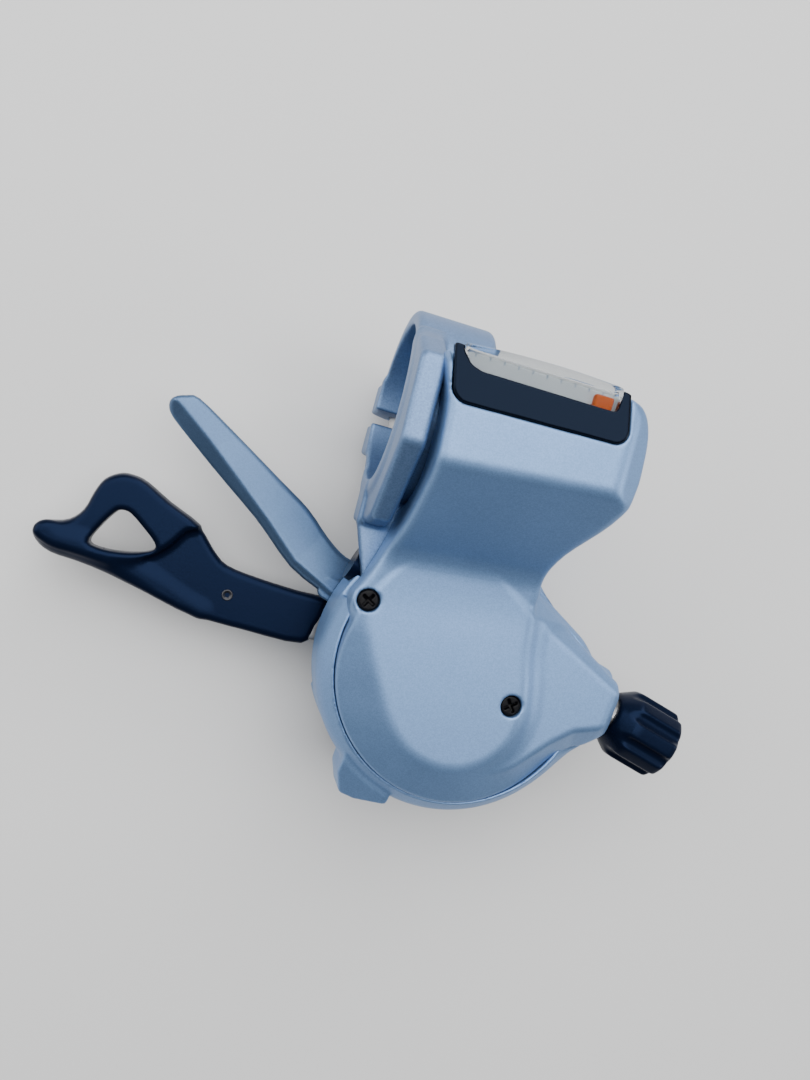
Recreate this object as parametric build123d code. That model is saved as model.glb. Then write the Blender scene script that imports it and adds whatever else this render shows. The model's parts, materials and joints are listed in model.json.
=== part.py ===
from build123d import *
import math
import os

os.makedirs("parts", exist_ok=True)

# ---- handlebar clamp (origin: centre of the clamp bore, +X along the bar) ----
BAR_R = 11.1            # handlebar radius the clamp closes on
CLAMP_GAP = 0.05        # radial room of the clamp bore before it is tightened
BAND_HALF = 5.5         # half the width of the clamp band
BAND_WALL = 2.05        # thickness of the band
SPLIT_W = 2.2           # width of the slot in the band
EAR_T = 4.5             # thickness of each clamp ear
EAR_DROP = 9.0          # how far the ears hang below the band
CHEEK_T = 2.1           # thickness of the cheek beside the display
BOLT_R = 2.5            # clamp bolt, M5
# ---- pod ----
AXIS_DX = 14.0          # mechanism axis, from the bore centre along the bar
POD_R = 21.0            # outside of the lower housing
POD_TUCK = 0.2          # how far the pod's round side reaches past the band's back
WALL = 1.8              # moulded wall
SEAM_Z = 1.0            # joint between lower housing and upper cover
FOOT_OUT = 0.8          # how far the foot boss stands out of the pod behind it
# ---- display ----
DISPLAY_RISE = 5.3      # display top above the room kept round the band
DISPLAY_FRONT = 7.4     # front edge of the display
DISPLAY_L = -2.2        # outboard side of the display
DISPLAY_R = 26.0        # inboard side of the display
WINDOW_L = -0.9
WINDOW_R = 22.2
WINDOW_BACK = -0.2
NEEDLE_X = 17.9
NEEDLE_TRAVEL = 12.0
# ---- mechanism ----
AXLE_R = 3.0
RUN = 0.05              # radial running clearance on a shaft
GAP = 0.3               # clearance between pieces that pass each other
RATCHET_R = 10.5
TOOTH_H = 1.3
TEETH = 18
PIN_ORBIT = 14.5        # pawl pins, from the mechanism axis
PLATE_T = 2.0           # main lever and bracket plate
THIN_T = 1.4            # base plate
RELEASE_T = 1.8
# ---- levers ----
MAIN_OUT = 41.8         # tip of the main lever, from the pod's side
ARM_W = 7.4
PAD_T = 3.7
PAD_DROP = 5.6          # depth of the thumb wall below the lever
RELEASE_OUT = 33.5      # tip of the release lever, from the pod's side
RELEASE_W = 5.6
# ---- cable adjuster ----
ARM_OUT = 1.6           # end of the arm, from the pod's side
ADJ_RISE = -0.8          # adjuster axis at the arm's end, ahead of the mechanism axis
ADJ_TILT = -16.0        # adjuster heading from +X
ADJ_Z = -4.0
BARREL_R = 2.9
CASING_R = 2.15
KNOB_R = 5.6
KNOB_LEN = 10.5
KNOB_START = 3.1        # from the arm's end
KNOB_LOBES = 8

# ---- derived sizes ----
AX = AXIS_DX
BORE_R = BAR_R + CLAMP_GAP
BAND_R = BORE_R + BAND_WALL
SWEEP_R = BAND_R + 1.0                     # underside of the display shell
AY = -(BAND_R + POD_R - POD_TUCK)
DISPLAY_Z = SWEEP_R + DISPLAY_RISE
MAIN_REACH = POD_R + MAIN_OUT
RELEASE_REACH = POD_R + RELEASE_OUT
ARM_END_X = AX + POD_R + ARM_OUT
ADJ_Y = AY + ADJ_RISE
COVER_R = POD_R - 2.4
POD_IN = POD_R - WALL
POST_ORBIT = POD_IN - 3.2                  # frame posts, from the mechanism axis
LIP_R = COVER_R - 1.6
PLATE_R = LIP_R - GAP
PLATEAU_Z = SEAM_Z + 5.0
RIM_Z = SEAM_Z + 2.0
PLATE_TOP = SEAM_Z - 0.4                   # bracket plate, top face
PLATE_BOT = PLATE_TOP - PLATE_T
DRUM_TOP = PLATE_BOT - 0.6
DRUM_T = 4.0
RATCHET_TOP = DRUM_TOP - DRUM_T
RATCHET_T = 2.2
RATCHET_BOT = RATCHET_TOP - RATCHET_T
RELEASE_TOP = RATCHET_BOT - 2.2
RELEASE_BOT = RELEASE_TOP - RELEASE_T
MAIN_TOP = RELEASE_BOT - 1.2
MAIN_BOT = MAIN_TOP - PLATE_T
BASE_TOP = MAIN_BOT - 0.4
BASE_BOT = BASE_TOP - THIN_T
FLOOR_BOT = BASE_BOT - 1.6
PAD_TOP = RELEASE_BOT - 0.5
PAD_BOT = PAD_TOP - PAD_T
PAWL_TOP = RATCHET_TOP - 0.2
PAWL_BOT = RATCHET_BOT
SIDE_OUT = 15.3         # pod's straight side from the axis, at the cover's inner edge
SIDE_ANGLE = 58.6
POST_ANGLES = (42.0, -30.0, 220.0)
DRIVE_ANGLE = 300.0
HOLD_ANGLE = 60.0
FINGER_ANGLE = 68.0
DRIVE_LIFT = 6.0           # drive pawl, held clear of the teeth at rest
CT = math.cos(math.radians(ADJ_TILT))
ST = math.sin(math.radians(ADJ_TILT))
GROOVE_R = abs((AX - ARM_END_X) * ST - (AY - ADJ_Y) * CT)
SCREW_SPOTS = ((AX - POD_R + 5.0, AY + 6.8), (AX + 7.2, AY - 2.6))


def cyl(x, y, r, z0, z1):
    """Upright cylinder between two heights."""
    return Pos(x, y, (z0 + z1) / 2) * Cylinder(r, z1 - z0)


def block(x0, x1, y0, y1, z0, z1):
    """Box from its limits."""
    mid = Pos((x0 + x1) / 2, (y0 + y1) / 2, (z0 + z1) / 2)
    return mid * Box(x1 - x0, y1 - y0, z1 - z0)


def outline(points, radius=0.0):
    """Closed flat face through the points, its corners rounded."""
    face = make_face(Polyline(*points, close=True))
    if radius > 0:
        face = fillet(face.vertices(), radius)
    return face


def prism(points, z0, z1, radius=0.0):
    """Upright prism over a rounded outline."""
    return extrude(Pos(0, 0, z0) * outline(points, radius), z1 - z0)


def slab(points, x0, x1, radius=0.0):
    """Prism along the bar over a (y, z) outline."""
    face = Plane.YZ * outline(points, radius)
    return extrude(Pos(x0, 0, 0) * face, x1 - x0, dir=(1, 0, 0))


def bar(r, x0, x1):
    """Cylinder along the bar axis."""
    return Pos((x0 + x1) / 2, 0, 0) * Rot(0, 90, 0) * Cylinder(r, x1 - x0)


def polar(r, deg):
    """Point round the mechanism axis."""
    a = math.radians(deg)
    return (AX + r * math.cos(a), AY + r * math.sin(a))


def about(dx, dy):
    """Point offset from the mechanism axis."""
    return (AX + dx, AY + dy)


def adjuster(solid):
    """Places a solid built along +Z from the arm end onto the adjuster axis."""
    return Pos(ARM_END_X, ADJ_Y, ADJ_Z) * Rot(0, 0, ADJ_TILT) * Rot(0, 90, 0) * solid


def span(r, s0, s1):
    """Cylinder along the adjuster axis between two distances from the arm end."""
    return adjuster(Pos(0, 0, (s0 + s1) / 2) * Cylinder(r, s1 - s0))


def save(solid, name):
    export_step(solid, "parts/" + name + ".step")


def group(solids):
    return Compound(children=list(solids))


def arm_points(inset=0.0):
    """Outline of the adjuster arm from above."""
    end = ARM_END_X - inset
    return [
        about(4.0, 12.0 - inset),
        (AX + 10.0, AY + 12.2 - inset),
        (end - 3.7, ADJ_Y + 7.3 - inset),
        (end - 4.6 * ST, ADJ_Y + 4.6 * CT),
        (end + 4.2 * ST, ADJ_Y - 4.2 * CT),
        (end - 4.0, ADJ_Y - 5.8 + inset),
        (AX + 14.2, AY - 9.0 + inset),
        (AX + 7.6, AY - 15.4 + inset),
        about(0.0, -12.0),
    ]


def plan_points(inset=0.0):
    """Outline of the display and neck from above."""
    left = DISPLAY_L + inset
    right = DISPLAY_R - inset
    return [
        (left + 0.2, DISPLAY_FRONT + 4.0),
        (left, -BAND_R - 3.0),
        (AX - POD_R + 1.8 + inset, AY + 8.0),
        (AX - POD_R + 2.0 + inset, AY + 3.0),
        about(0.0, -4.0),
        (AX + 8.2 - inset, AY + 2.0),
        (AX + 7.8 - inset, AY + 14.0),
        (right - 3.0, AY + 20.0),
        (right + 0.8, -5.5),
        (right - 0.8, DISPLAY_FRONT + 4.0),
    ]


def profile_points(inset=0.0):
    """Side view of the display, the neck and the cover's flat top."""
    top = DISPLAY_Z - inset
    low = PLATEAU_Z - inset
    front = DISPLAY_FRONT - inset
    return [
        (front, SWEEP_R * 0.7),
        (front, top - 2.4),
        (front - 2.0, top),
        (-6.2 + inset * 0.4, top),
        (-8.6 + inset * 0.6, top - 1.2),
        (AY + 14.4 + inset * 0.7, low + 0.9),
        (AY + 12.6 + inset * 0.7, low),
        (AY, low),
        (AY, SEAM_Z - inset),
        (-BAND_R - 1.0, SEAM_Z - inset),
        (0.0, 5.0),
    ]


def corner(gap):
    """Space beyond the pod's straight side, between the neck and the arm."""
    far = block(SIDE_OUT + gap, 80, -60, 60, -60, 60)
    return Pos(AX, AY, 0) * Rot(0, 0, SIDE_ANGLE) * far


def plateau(inset=0.0):
    """Raised flat and the slope round it."""
    low = Pos(AX, AY, RIM_Z - inset) * Circle(COVER_R - 0.6 - inset)
    high = Pos(AX - 2.0, AY - 0.5, PLATEAU_Z - inset) * Circle(COVER_R - 6.4 - inset * 0.4)
    return loft([low, high])


def cover_outer():
    disc = cyl(AX, AY, COVER_R, SEAM_Z, RIM_Z)
    arm = prism(arm_points(), SEAM_Z, RIM_Z - 0.4)
    body = prism(plan_points(), SEAM_Z, DISPLAY_Z + 1, 1.4)
    body = body & slab(profile_points(), DISPLAY_L - 8, DISPLAY_R + 8)
    return (disc + plateau() - corner(2.4)) + arm + body


def cover_inner():
    disc = cyl(AX, AY, COVER_R - WALL, SEAM_Z - 1, RIM_Z - WALL + 0.3)
    body = prism(plan_points(WALL), SEAM_Z - 1, DISPLAY_Z)
    body = body & slab(profile_points(WALL), DISPLAY_L - 8, DISPLAY_R + 8)
    shelf = block(-40, 60, -3.2, 20, DISPLAY_Z - 4.0, DISPLAY_Z + 5)
    return disc + plateau(WALL) + (body - shelf)


def window_outline(grow=0.0):
    """Plan of the display window, its lower corners rounded."""
    face = outline([
        (WINDOW_L - grow, DISPLAY_FRONT + 2),
        (WINDOW_L - grow, WINDOW_BACK + 1.4),
        (WINDOW_L + 2.4, WINDOW_BACK - grow),
        (WINDOW_R - 1.0, WINDOW_BACK + 0.6 - grow),
        (WINDOW_R + grow, WINDOW_BACK + 2.2),
        (WINDOW_R - 1.6 + grow, DISPLAY_FRONT + 2),
    ])
    return face


def make_upper_cover():
    bore = bar(SWEEP_R, -60, 80)
    body = cover_outer() - cover_inner()
    for (x, y) in SCREW_SPOTS:
        body = body + cyl(x, y, 2.9, PLATE_TOP, PLATEAU_Z - 0.5)
    body = body - bore
    recess = extrude(Pos(0, 0, DISPLAY_Z - 2.9) * window_outline(), 6)
    skirt = block(WINDOW_L + 0.95, WINDOW_R - 2.55, DISPLAY_FRONT - 1.05, DISPLAY_FRONT + 3,
                  DISPLAY_Z - 3.85, DISPLAY_Z)
    body = body - recess - skirt
    slot = block(NEEDLE_X - NEEDLE_TRAVEL - 1.0, NEEDLE_X + 1.0, 4.0, 5.6, 5, DISPLAY_Z)
    body = body - slot
    for (x, y) in SCREW_SPOTS:
        body = body - cyl(x, y, 1.75, PLATEAU_Z - 2.2, PLATEAU_Z + 3)
        body = body - cyl(x, y, 1.05, PLATE_TOP - 1, PLATEAU_Z)
    body = body - span(BARREL_R + 2.2, -14, 6)
    return body


def make_cover_screws():
    solids = []
    for (x, y) in SCREW_SPOTS:
        head = cyl(x, y, 1.7, PLATEAU_Z - 2.2, PLATEAU_Z - 0.6)
        shank = cyl(x, y, 1.0, PLATE_BOT + 0.2, PLATEAU_Z - 2.2)
        cross = block(x - 1.05, x + 1.05, y - 0.2, y + 0.2, PLATEAU_Z - 1.5, PLATEAU_Z)
        turned = block(x - 0.2, x + 0.2, y - 1.05, y + 1.05, PLATEAU_Z - 1.5, PLATEAU_Z)
        solids.append((head + shank) - cross - turned)
    return group(solids)


def make_lower_housing():
    cup = cyl(AX, AY, POD_R, FLOOR_BOT, SEAM_Z)
    rims = cup.edges().filter_by(GeomType.CIRCLE)
    cup = chamfer(rims, 1.6) - corner(4.15)
    arm = prism(arm_points(), ADJ_Z - 6.2, SEAM_Z)
    foot = prism([
        about(-13.6, -POD_R + 7.0),
        about(-12.8, -POD_R + 1.0),
        about(-11.4, -POD_R - FOOT_OUT + 0.2),
        about(-7.0, -POD_R - FOOT_OUT),
        about(-3.0, -POD_R + 0.6),
        about(-4.0, -POD_R + 7.0),
    ], ADJ_Z - 5.0, SEAM_Z - 0.8, 0.8)
    body = cup + arm + foot
    body = body - (cyl(AX, AY, POD_IN, BASE_BOT, SEAM_Z - 1.6) - corner(3.25))
    body = body - cyl(AX, AY, LIP_R, BASE_BOT, SEAM_Z + 1)
    passage = block(-BAND_HALF - GAP, BAND_HALF + GAP, AY + 4.0, -BAND_R + 3,
                    PLATE_BOT - GAP, SEAM_Z + 1)
    left_ear = block(AX - POD_R + 1.4, AX - 10.0, AY + 2.6, AY + 12.0, PLATE_BOT - GAP, SEAM_Z + 1)
    body = body - passage - left_ear
    window = cyl(AX, AY, POD_R + 8, BASE_BOT + 0.2, RELEASE_TOP + 0.8)
    window = window - cyl(AX, AY, POD_IN - 1.0, BASE_BOT - 1, RELEASE_TOP + 2)
    sector = prism([
        (AX, AY), polar(60, 113), polar(60, 140), polar(60, 180), polar(60, 207),
    ], BASE_BOT, RELEASE_TOP + 1)
    body = body - (window & sector)
    body = body - cyl(AX, AY, AXLE_R + RUN, FLOOR_BOT - 1, BASE_TOP)
    for deg in POST_ANGLES:
        (x, y) = polar(POST_ORBIT, deg)
        body = body - cyl(x, y, 1.25, FLOOR_BOT - 1, BASE_TOP)
    body = body - span(BARREL_R + 1.1, -9.5, 3)
    body = body - span(BARREL_R + RUN, -ARM_END_X + AX + 12.0, 3)
    return body


def make_base_plate():
    plate = cyl(AX, AY, POD_IN - GAP, BASE_BOT, BASE_TOP) - corner(2.9)
    plate = plate - cyl(AX, AY, AXLE_R, BASE_BOT - 1, BASE_TOP + 1)
    for deg in POST_ANGLES:
        (x, y) = polar(POST_ORBIT, deg)
        plate = plate - cyl(x, y, 1.25, BASE_BOT - 1, BASE_TOP + 1)
    return plate


def make_frame_posts():
    solids = []
    for deg in POST_ANGLES:
        (x, y) = polar(POST_ORBIT, deg)
        post = cyl(x, y, 2.0, BASE_TOP, PLATE_BOT)
        post = post - cyl(x, y, 1.2, BASE_TOP - 1, BASE_TOP + 5)
        solids.append(post)
    return group(solids)


def make_base_screws():
    solids = []
    for deg in POST_ANGLES:
        (x, y) = polar(POST_ORBIT, deg)
        head = cyl(x, y, 2.4, FLOOR_BOT - 1.5, FLOOR_BOT)
        shank = cyl(x, y, 1.2, FLOOR_BOT, BASE_TOP + 4.5)
        cross = block(x - 1.3, x + 1.3, y - 0.25, y + 0.25, FLOOR_BOT - 2, FLOOR_BOT - 0.7)
        turned = block(x - 0.25, x + 0.25, y - 1.3, y + 1.3, FLOOR_BOT - 2, FLOOR_BOT - 0.7)
        solids.append((head + shank) - cross - turned)
    return group(solids)


def make_clamp_bracket():
    band = bar(BAND_R, -BAND_HALF, BAND_HALF)
    root_y = -BAND_R - 3.9
    cheek = slab([
        (BAND_R * 0.62, DISPLAY_Z - 9.0),
        (5.2, DISPLAY_Z - 2.0),
        (-7.0, DISPLAY_Z - 1.6),
        (root_y + 0.6, DISPLAY_Z - 11.5),
        (root_y, SEAM_Z - 1.0),
        (root_y, -6.0),
        (-6.0, -6.0),
        (0.0, 4.0),
    ], -BAND_HALF, -BAND_HALF + CHEEK_T, 0.8)
    web = block(-BAND_HALF, BAND_HALF, root_y, -7.0, -6.0, PLATE_TOP)
    split_y = -SPLIT_W / 2
    ears = block(-BAND_HALF, BAND_HALF, split_y - SPLIT_W / 2 - EAR_T,
                 split_y + SPLIT_W / 2 + EAR_T, -BAND_R - EAR_DROP, -BORE_R + 1.0)
    ears = chamfer(ears.edges().filter_by(Axis.Y).sort_by(Axis.Z)[:2], 3.0)
    body = band + cheek + web + ears
    body = body - cyl(AX, AY, POD_R + GAP, -20, PLATE_BOT - GAP)
    plate = cyl(AX, AY, PLATE_R, PLATE_BOT, PLATE_TOP)
    link = prism([
        (BAND_HALF, -BAND_R + 1.0),
        (-BAND_HALF, -BAND_R + 1.0),
        (-BAND_HALF, AY + 12.0),
        (AX - POD_R + 1.8, AY + 11.6),
        (AX - POD_R + 1.8, AY + 4.0),
        (AX - 8.0, AY + 2.0),
        (AX + 4.0, AY + 6.0),
        (BAND_HALF, AY + 14.0),
    ], PLATE_BOT, PLATE_TOP)
    body = body + plate + link
    body = body - bar(BORE_R, -60, 60)
    body = body - block(-BAND_HALF - 1, BAND_HALF + 1, split_y - SPLIT_W / 2,
                        split_y + SPLIT_W / 2, -BAND_R - EAR_DROP - 1, -BORE_R + 2)
    bolt_z = -BAND_R - EAR_DROP / 2
    hole = Pos(0, 0, bolt_z) * Rot(90, 0, 0) * Cylinder(BOLT_R + 0.1, 60)
    body = body - hole
    body = body - cyl(AX, AY, AXLE_R, -20, 20)
    body = body - span(BARREL_R + 1.1 + GAP, -16, 6)
    for (x, y) in SCREW_SPOTS:
        body = body - cyl(x, y, 1.0, -20, 20)
    (hx, hy) = polar(PIN_ORBIT, HOLD_ANGLE)
    body = body - cyl(hx, hy, 1.2, -20, 20)
    return body


def make_clamp_bolt():
    bolt_z = -BAND_R - EAR_DROP / 2
    y_face = EAR_T
    y_end = -SPLIT_W - EAR_T + 0.3
    shank = Pos(0, (y_face + y_end) / 2, bolt_z) * Rot(90, 0, 0) * Cylinder(BOLT_R, y_face - y_end)
    head = Pos(0, y_face + 2.0, bolt_z) * Rot(90, 0, 0) * Cylinder(4.1, 4.0)
    socket = Pos(0, y_face + 3.0, bolt_z) * Rot(90, 0, 0) * extrude(RegularPolygon(2.3, 6), 2.2, both=True)
    return shank + head - socket


def make_main_axle():
    shaft = cyl(AX, AY, AXLE_R, FLOOR_BOT - 4.2, PLATE_TOP)
    head = cyl(AX, AY, AXLE_R + 1.6, PLATE_TOP, PLATE_TOP + 1.0)
    return shaft + head


def make_axle_nut():
    nut = Pos(AX, AY, FLOOR_BOT - 3.6) * extrude(RegularPolygon(5.0, 6), 2.8)
    return nut - cyl(AX, AY, AXLE_R, FLOOR_BOT - 9, 0)


def ring_at(r_out, r_in, z0, z1):
    return cyl(AX, AY, r_out, z0, z1) - cyl(AX, AY, r_in, z0 - 1, z1 + 1)


def wire_loop(x, y, r, wire, z_mid, lead, tail):
    """Torsion spring: one open turn of wire with a straight tail along its tangent."""
    turn = CenterArc((0, 0, 0), r, lead - 330, 330)
    path = turn + Line(turn @ 1, (turn @ 1) + (turn % 1) * tail)
    section = Plane(turn @ 0, z_dir=turn % 0) * Circle(wire)
    return Pos(x, y, z_mid) * sweep(section, path=path)


def coil(r, wire, z_mid, lead, tail=3.0):
    return wire_loop(AX, AY, r, wire, z_mid, lead, tail)


def make_winding_drum():
    body = ring_at(GROOVE_R + 1.6, AXLE_R + RUN, RATCHET_TOP, DRUM_TOP)
    groove = ring_at(GROOVE_R + 5, GROOVE_R, RATCHET_TOP + 1.1, DRUM_TOP - 1.1)
    pocket = ring_at(GROOVE_R - 0.6, AXLE_R + 0.7, DRUM_TOP - 1.3, DRUM_TOP + 1)
    hook = cyl(AX + GROOVE_R - 0.4, AY - 0.4, 1.5, RATCHET_TOP + 0.7, DRUM_TOP - 0.9)
    return body - groove - pocket - hook


def make_ratchet_wheel():
    root = RATCHET_R - TOOTH_H
    points = []
    for k in range(TEETH):
        deg = 360.0 / TEETH * k
        points.append(polar(root, deg + 1.0))
        points.append(polar(RATCHET_R, deg + 14.0))
        points.append(polar(RATCHET_R, deg + 18.0))
        points.append(polar(root, deg + 19.0))
    wheel = prism(points, RATCHET_BOT, RATCHET_TOP)
    return wheel - cyl(AX, AY, AXLE_R + RUN, RATCHET_BOT - 1, RATCHET_TOP + 1)


def pawl(pin_deg, nose_deg, tail_deg):
    """Flat pawl on a pin: nose just above the tooth tips, tail on the other side."""
    (px, py) = polar(PIN_ORBIT, pin_deg)
    head = cyl(px, py, 2.3, PAWL_BOT, PAWL_TOP)
    near = RATCHET_R + 0.25
    nose = prism([
        polar(PIN_ORBIT - 2.0, pin_deg + (tail_deg - pin_deg) * 0.1),
        polar(near, nose_deg),
        polar(near + 1.5, nose_deg),
        polar(PIN_ORBIT + 1.6, pin_deg + (nose_deg - pin_deg) * 0.15),
    ], PAWL_BOT, PAWL_TOP)
    tail = prism([
        polar(PIN_ORBIT - 1.2, pin_deg),
        polar(PIN_ORBIT - 0.8, tail_deg),
        polar(PIN_ORBIT + 0.8, tail_deg),
        polar(PIN_ORBIT + 1.6, pin_deg),
    ], PAWL_BOT, PAWL_TOP)
    return head + nose + tail - cyl(px, py, 1.2 + RUN, PAWL_BOT - 1, PAWL_TOP + 1)


def make_drive_pin():
    (px, py) = polar(PIN_ORBIT, DRIVE_ANGLE)
    return cyl(px, py, 1.2, MAIN_BOT, PAWL_TOP + 0.8) + cyl(px, py, 1.9, PAWL_TOP + 0.2, PAWL_TOP + 0.8)


def make_hold_pin():
    (px, py) = polar(PIN_ORBIT, HOLD_ANGLE)
    return cyl(px, py, 1.2, PAWL_BOT - 0.8, PLATE_TOP) + cyl(px, py, 1.9, PAWL_BOT - 0.8, PAWL_BOT - 0.2)


def pin_spring(deg, z):
    (px, py) = polar(PIN_ORBIT, deg)
    return wire_loop(px, py, 1.6, 0.25, z, deg, 2.4)


def make_main_lever():
    hub = cyl(AX, AY, 7.5, MAIN_BOT, MAIN_TOP)
    half = ARM_W / 2 - 0.9
    arm = prism([
        about(0, -half), about(0, half),
        about(-MAIN_REACH + 25.0, half), about(-MAIN_REACH + 23.0, half - 1.4),
        about(-MAIN_REACH + 23.0, -half + 0.6), about(-MAIN_REACH + 24.4, -half),
    ], MAIN_BOT, MAIN_TOP)
    (px, py) = polar(PIN_ORBIT, DRIVE_ANGLE)
    tail = prism([
        polar(6.0, DRIVE_ANGLE - 50), polar(PIN_ORBIT + 0.8, DRIVE_ANGLE - 9),
        polar(PIN_ORBIT + 0.8, DRIVE_ANGLE + 9), polar(6.0, DRIVE_ANGLE + 50),
    ], MAIN_BOT, MAIN_TOP)
    knee = cyl(px, py, 2.4, MAIN_BOT, MAIN_TOP)
    body = hub + arm + tail + knee
    body = body - cyl(AX, AY, AXLE_R + RUN, MAIN_BOT - 1, MAIN_TOP + 1)
    body = body - cyl(px, py, 1.2, MAIN_BOT - 1, MAIN_TOP + 1)
    (rx, ry) = about(-MAIN_REACH + 28.8, 0.9)
    return body - cyl(rx, ry, 1.0, MAIN_BOT - 1, MAIN_TOP + 1)


def pad_points(inset=0.0):
    """Plan of the thumb paddle, from the inner end round to the tip."""
    tip = -MAIN_REACH
    half = ARM_W / 2
    return [
        about(-POD_R + 0.6, -half - 0.2 + inset),
        about(-POD_R + 2.2, half - inset),
        about(tip + 28.0, half + 0.4 - inset),
        about(tip + 20.2, 9.8 - inset),
        about(tip + 13.4, 14.4 - inset),
        about(tip + 8.6, 14.4 - inset),
        about(tip + 5.6, 11.0 - inset),
        about(tip + 3.6, 6.6 - inset),
        about(tip + inset, 4.4 - inset),
        about(tip + 0.2 + inset, 1.6 + inset),
        about(tip + 4.6, -1.2 + inset),
        about(tip + 13.0, -3.0 + inset),
        about(tip + 26.0, -half - 0.1 + inset),
    ]


def hole_points():
    """Plan of the rounded three-cornered hole in the paddle."""
    tip = -MAIN_REACH
    return [
        about(tip + 6.8, 3.2),
        about(tip + 10.4, 9.4),
        about(tip + 16.6, 6.2),
        about(tip + 16.2, 4.4),
        about(tip + 11.8, 2.8),
    ]


def make_lever_pad():
    tip = -MAIN_REACH
    body = prism(pad_points(), PAD_BOT, PAD_TOP, 0.9)
    wall = prism([
        about(tip + 0.6, 4.0),
        about(tip + 0.8, 1.8),
        about(tip + 4.8, -0.9),
        about(tip + 13.0, -2.7),
        about(tip + 24.0, -3.3),
        about(tip + 24.0, -1.3),
        about(tip + 13.2, -0.7),
        about(tip + 5.6, 1.0),
        about(tip + 2.4, 3.0),
    ], PAD_BOT - PAD_DROP, PAD_BOT + 0.5, 0.5)
    body = body + wall
    body = body - prism(hole_points(), PAD_BOT - 9, PAD_TOP + 1, 0.7)
    pocket_half = ARM_W / 2 - 0.9
    pocket = block(AX - MAIN_REACH + 22.9, AX, AY - pocket_half, AY + pocket_half, MAIN_BOT, MAIN_TOP)
    body = body - pocket
    (rx, ry) = about(tip + 28.8, 0.9)
    return body - cyl(rx, ry, 1.0, PAD_BOT - 1, PAD_TOP + 1)


def make_pad_rivet():
    (rx, ry) = about(-MAIN_REACH + 28.8, 0.9)
    pin = cyl(rx, ry, 1.0, PAD_BOT, PAD_TOP - 0.2)
    return pin - cyl(rx, ry, 0.55, PAD_TOP - 0.8, PAD_TOP + 1)


def make_release_lever():
    hub = cyl(AX, AY, 7.5, RELEASE_BOT, RELEASE_TOP)
    head = 150.3
    far = RELEASE_REACH
    half = RELEASE_W / 2
    root_a = about(-POD_R + 3.5, half + 3.6)
    root_b = about(-POD_R + 2.8, half + 1.0)
    neck = prism([
        about(0, 5.0), root_a, about(-POD_R + 0.5, 7.6), about(-POD_R - 0.5, 4.6), root_b, about(-2.0, -6.0),
    ], RELEASE_BOT, RELEASE_TOP)
    (tx, ty) = polar(far, head)
    blade = prism([
        about(-POD_R + 4.0, 9.9), (tx + 3.1, ty - 0.3), (tx + 1.0, ty + 0.9), (tx - 0.2, ty + 0.4),
        (tx - 0.3, ty - 1.4), about(-POD_R - 15.0, 17.6), about(-POD_R - 6.0, 10.6),
        about(-POD_R + 0.6, 4.4), about(-POD_R + 3.4, 3.4),
    ], RELEASE_BOT - 0.1, RELEASE_TOP + 0.4, 0.5)
    finger_out = RATCHET_R + 7.2
    (fx, fy) = polar(finger_out, FINGER_ANGLE)
    spoke = prism([
        polar(5.0, FINGER_ANGLE - 24), polar(finger_out + 0.6, FINGER_ANGLE - 5),
        polar(finger_out + 0.6, FINGER_ANGLE + 5), polar(5.0, FINGER_ANGLE + 24),
    ], RELEASE_BOT, RELEASE_TOP)
    tab = prism([
        polar(finger_out - 0.5, FINGER_ANGLE - 4.6), polar(finger_out + 0.5, FINGER_ANGLE - 4.6),
        polar(finger_out + 0.5, FINGER_ANGLE + 4.6), polar(finger_out - 0.5, FINGER_ANGLE + 4.6),
    ], RELEASE_BOT, PAWL_TOP)
    body = hub + neck + blade + spoke + tab
    return body - cyl(AX, AY, AXLE_R + RUN, RELEASE_BOT - 1, RELEASE_TOP + 1)


def make_window_mask():
    """Black surround: back band of the window, its right end, and the slot for the lens."""
    z0 = DISPLAY_Z - 1.5
    z1 = DISPLAY_Z + 0.1
    plate = extrude(Pos(0, 0, z0) * window_outline(-0.1), z1 - z0)
    keep = block(WINDOW_L - 2, WINDOW_R + 2, WINDOW_BACK - 1, DISPLAY_FRONT - 2.1, z0 - 1, z1 + 1)
    lens = prism(lens_points(0.1), z0 - 1, z1 + 1)
    return (plate & keep) - lens


def lens_points(grow=0.0):
    return [
        (WINDOW_L + 1.0 - grow, DISPLAY_FRONT + 0.5 + grow),
        (WINDOW_L + 1.0 - grow, 5.4 - grow),
        (WINDOW_L + 3.0 - grow, 4.0 - grow),
        (WINDOW_L + 4.4, 3.7 - grow),
        (WINDOW_R - 2.6 + grow, 3.7 - grow),
        (WINDOW_R - 2.6 + grow, DISPLAY_FRONT + 0.5 + grow),
    ]


def make_window_lens():
    """Clear domed strip along the front of the display, bent down over its edge."""
    x0 = WINDOW_L - 2
    x1 = WINDOW_R + 2
    front = DISPLAY_FRONT
    section = slab([
        (3.4, DISPLAY_Z - 1.1), (3.4, DISPLAY_Z + 0.2),
        (5.0, DISPLAY_Z + 0.5), (front - 0.9, DISPLAY_Z - 0.3),
        (front, DISPLAY_Z - 1.8), (front, DISPLAY_Z - 3.8), (front - 1.0, DISPLAY_Z - 3.8),
        (front - 1.0, DISPLAY_Z - 2.0), (front - 1.6, DISPLAY_Z - 1.1),
    ], x0, x1)
    return section & prism(lens_points(), DISPLAY_Z - 10, DISPLAY_Z + 5)


def make_indicator_scale():
    z1 = DISPLAY_Z - 2.3
    plate = block(WINDOW_L + 0.6, WINDOW_R - 1.6, 1.2, DISPLAY_FRONT - 1.3, DISPLAY_Z - 2.9, z1)
    slot = block(NEEDLE_X - NEEDLE_TRAVEL - 1.0, NEEDLE_X + 1.0, 4.0, 5.6, 5, DISPLAY_Z)
    return plate - slot


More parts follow.
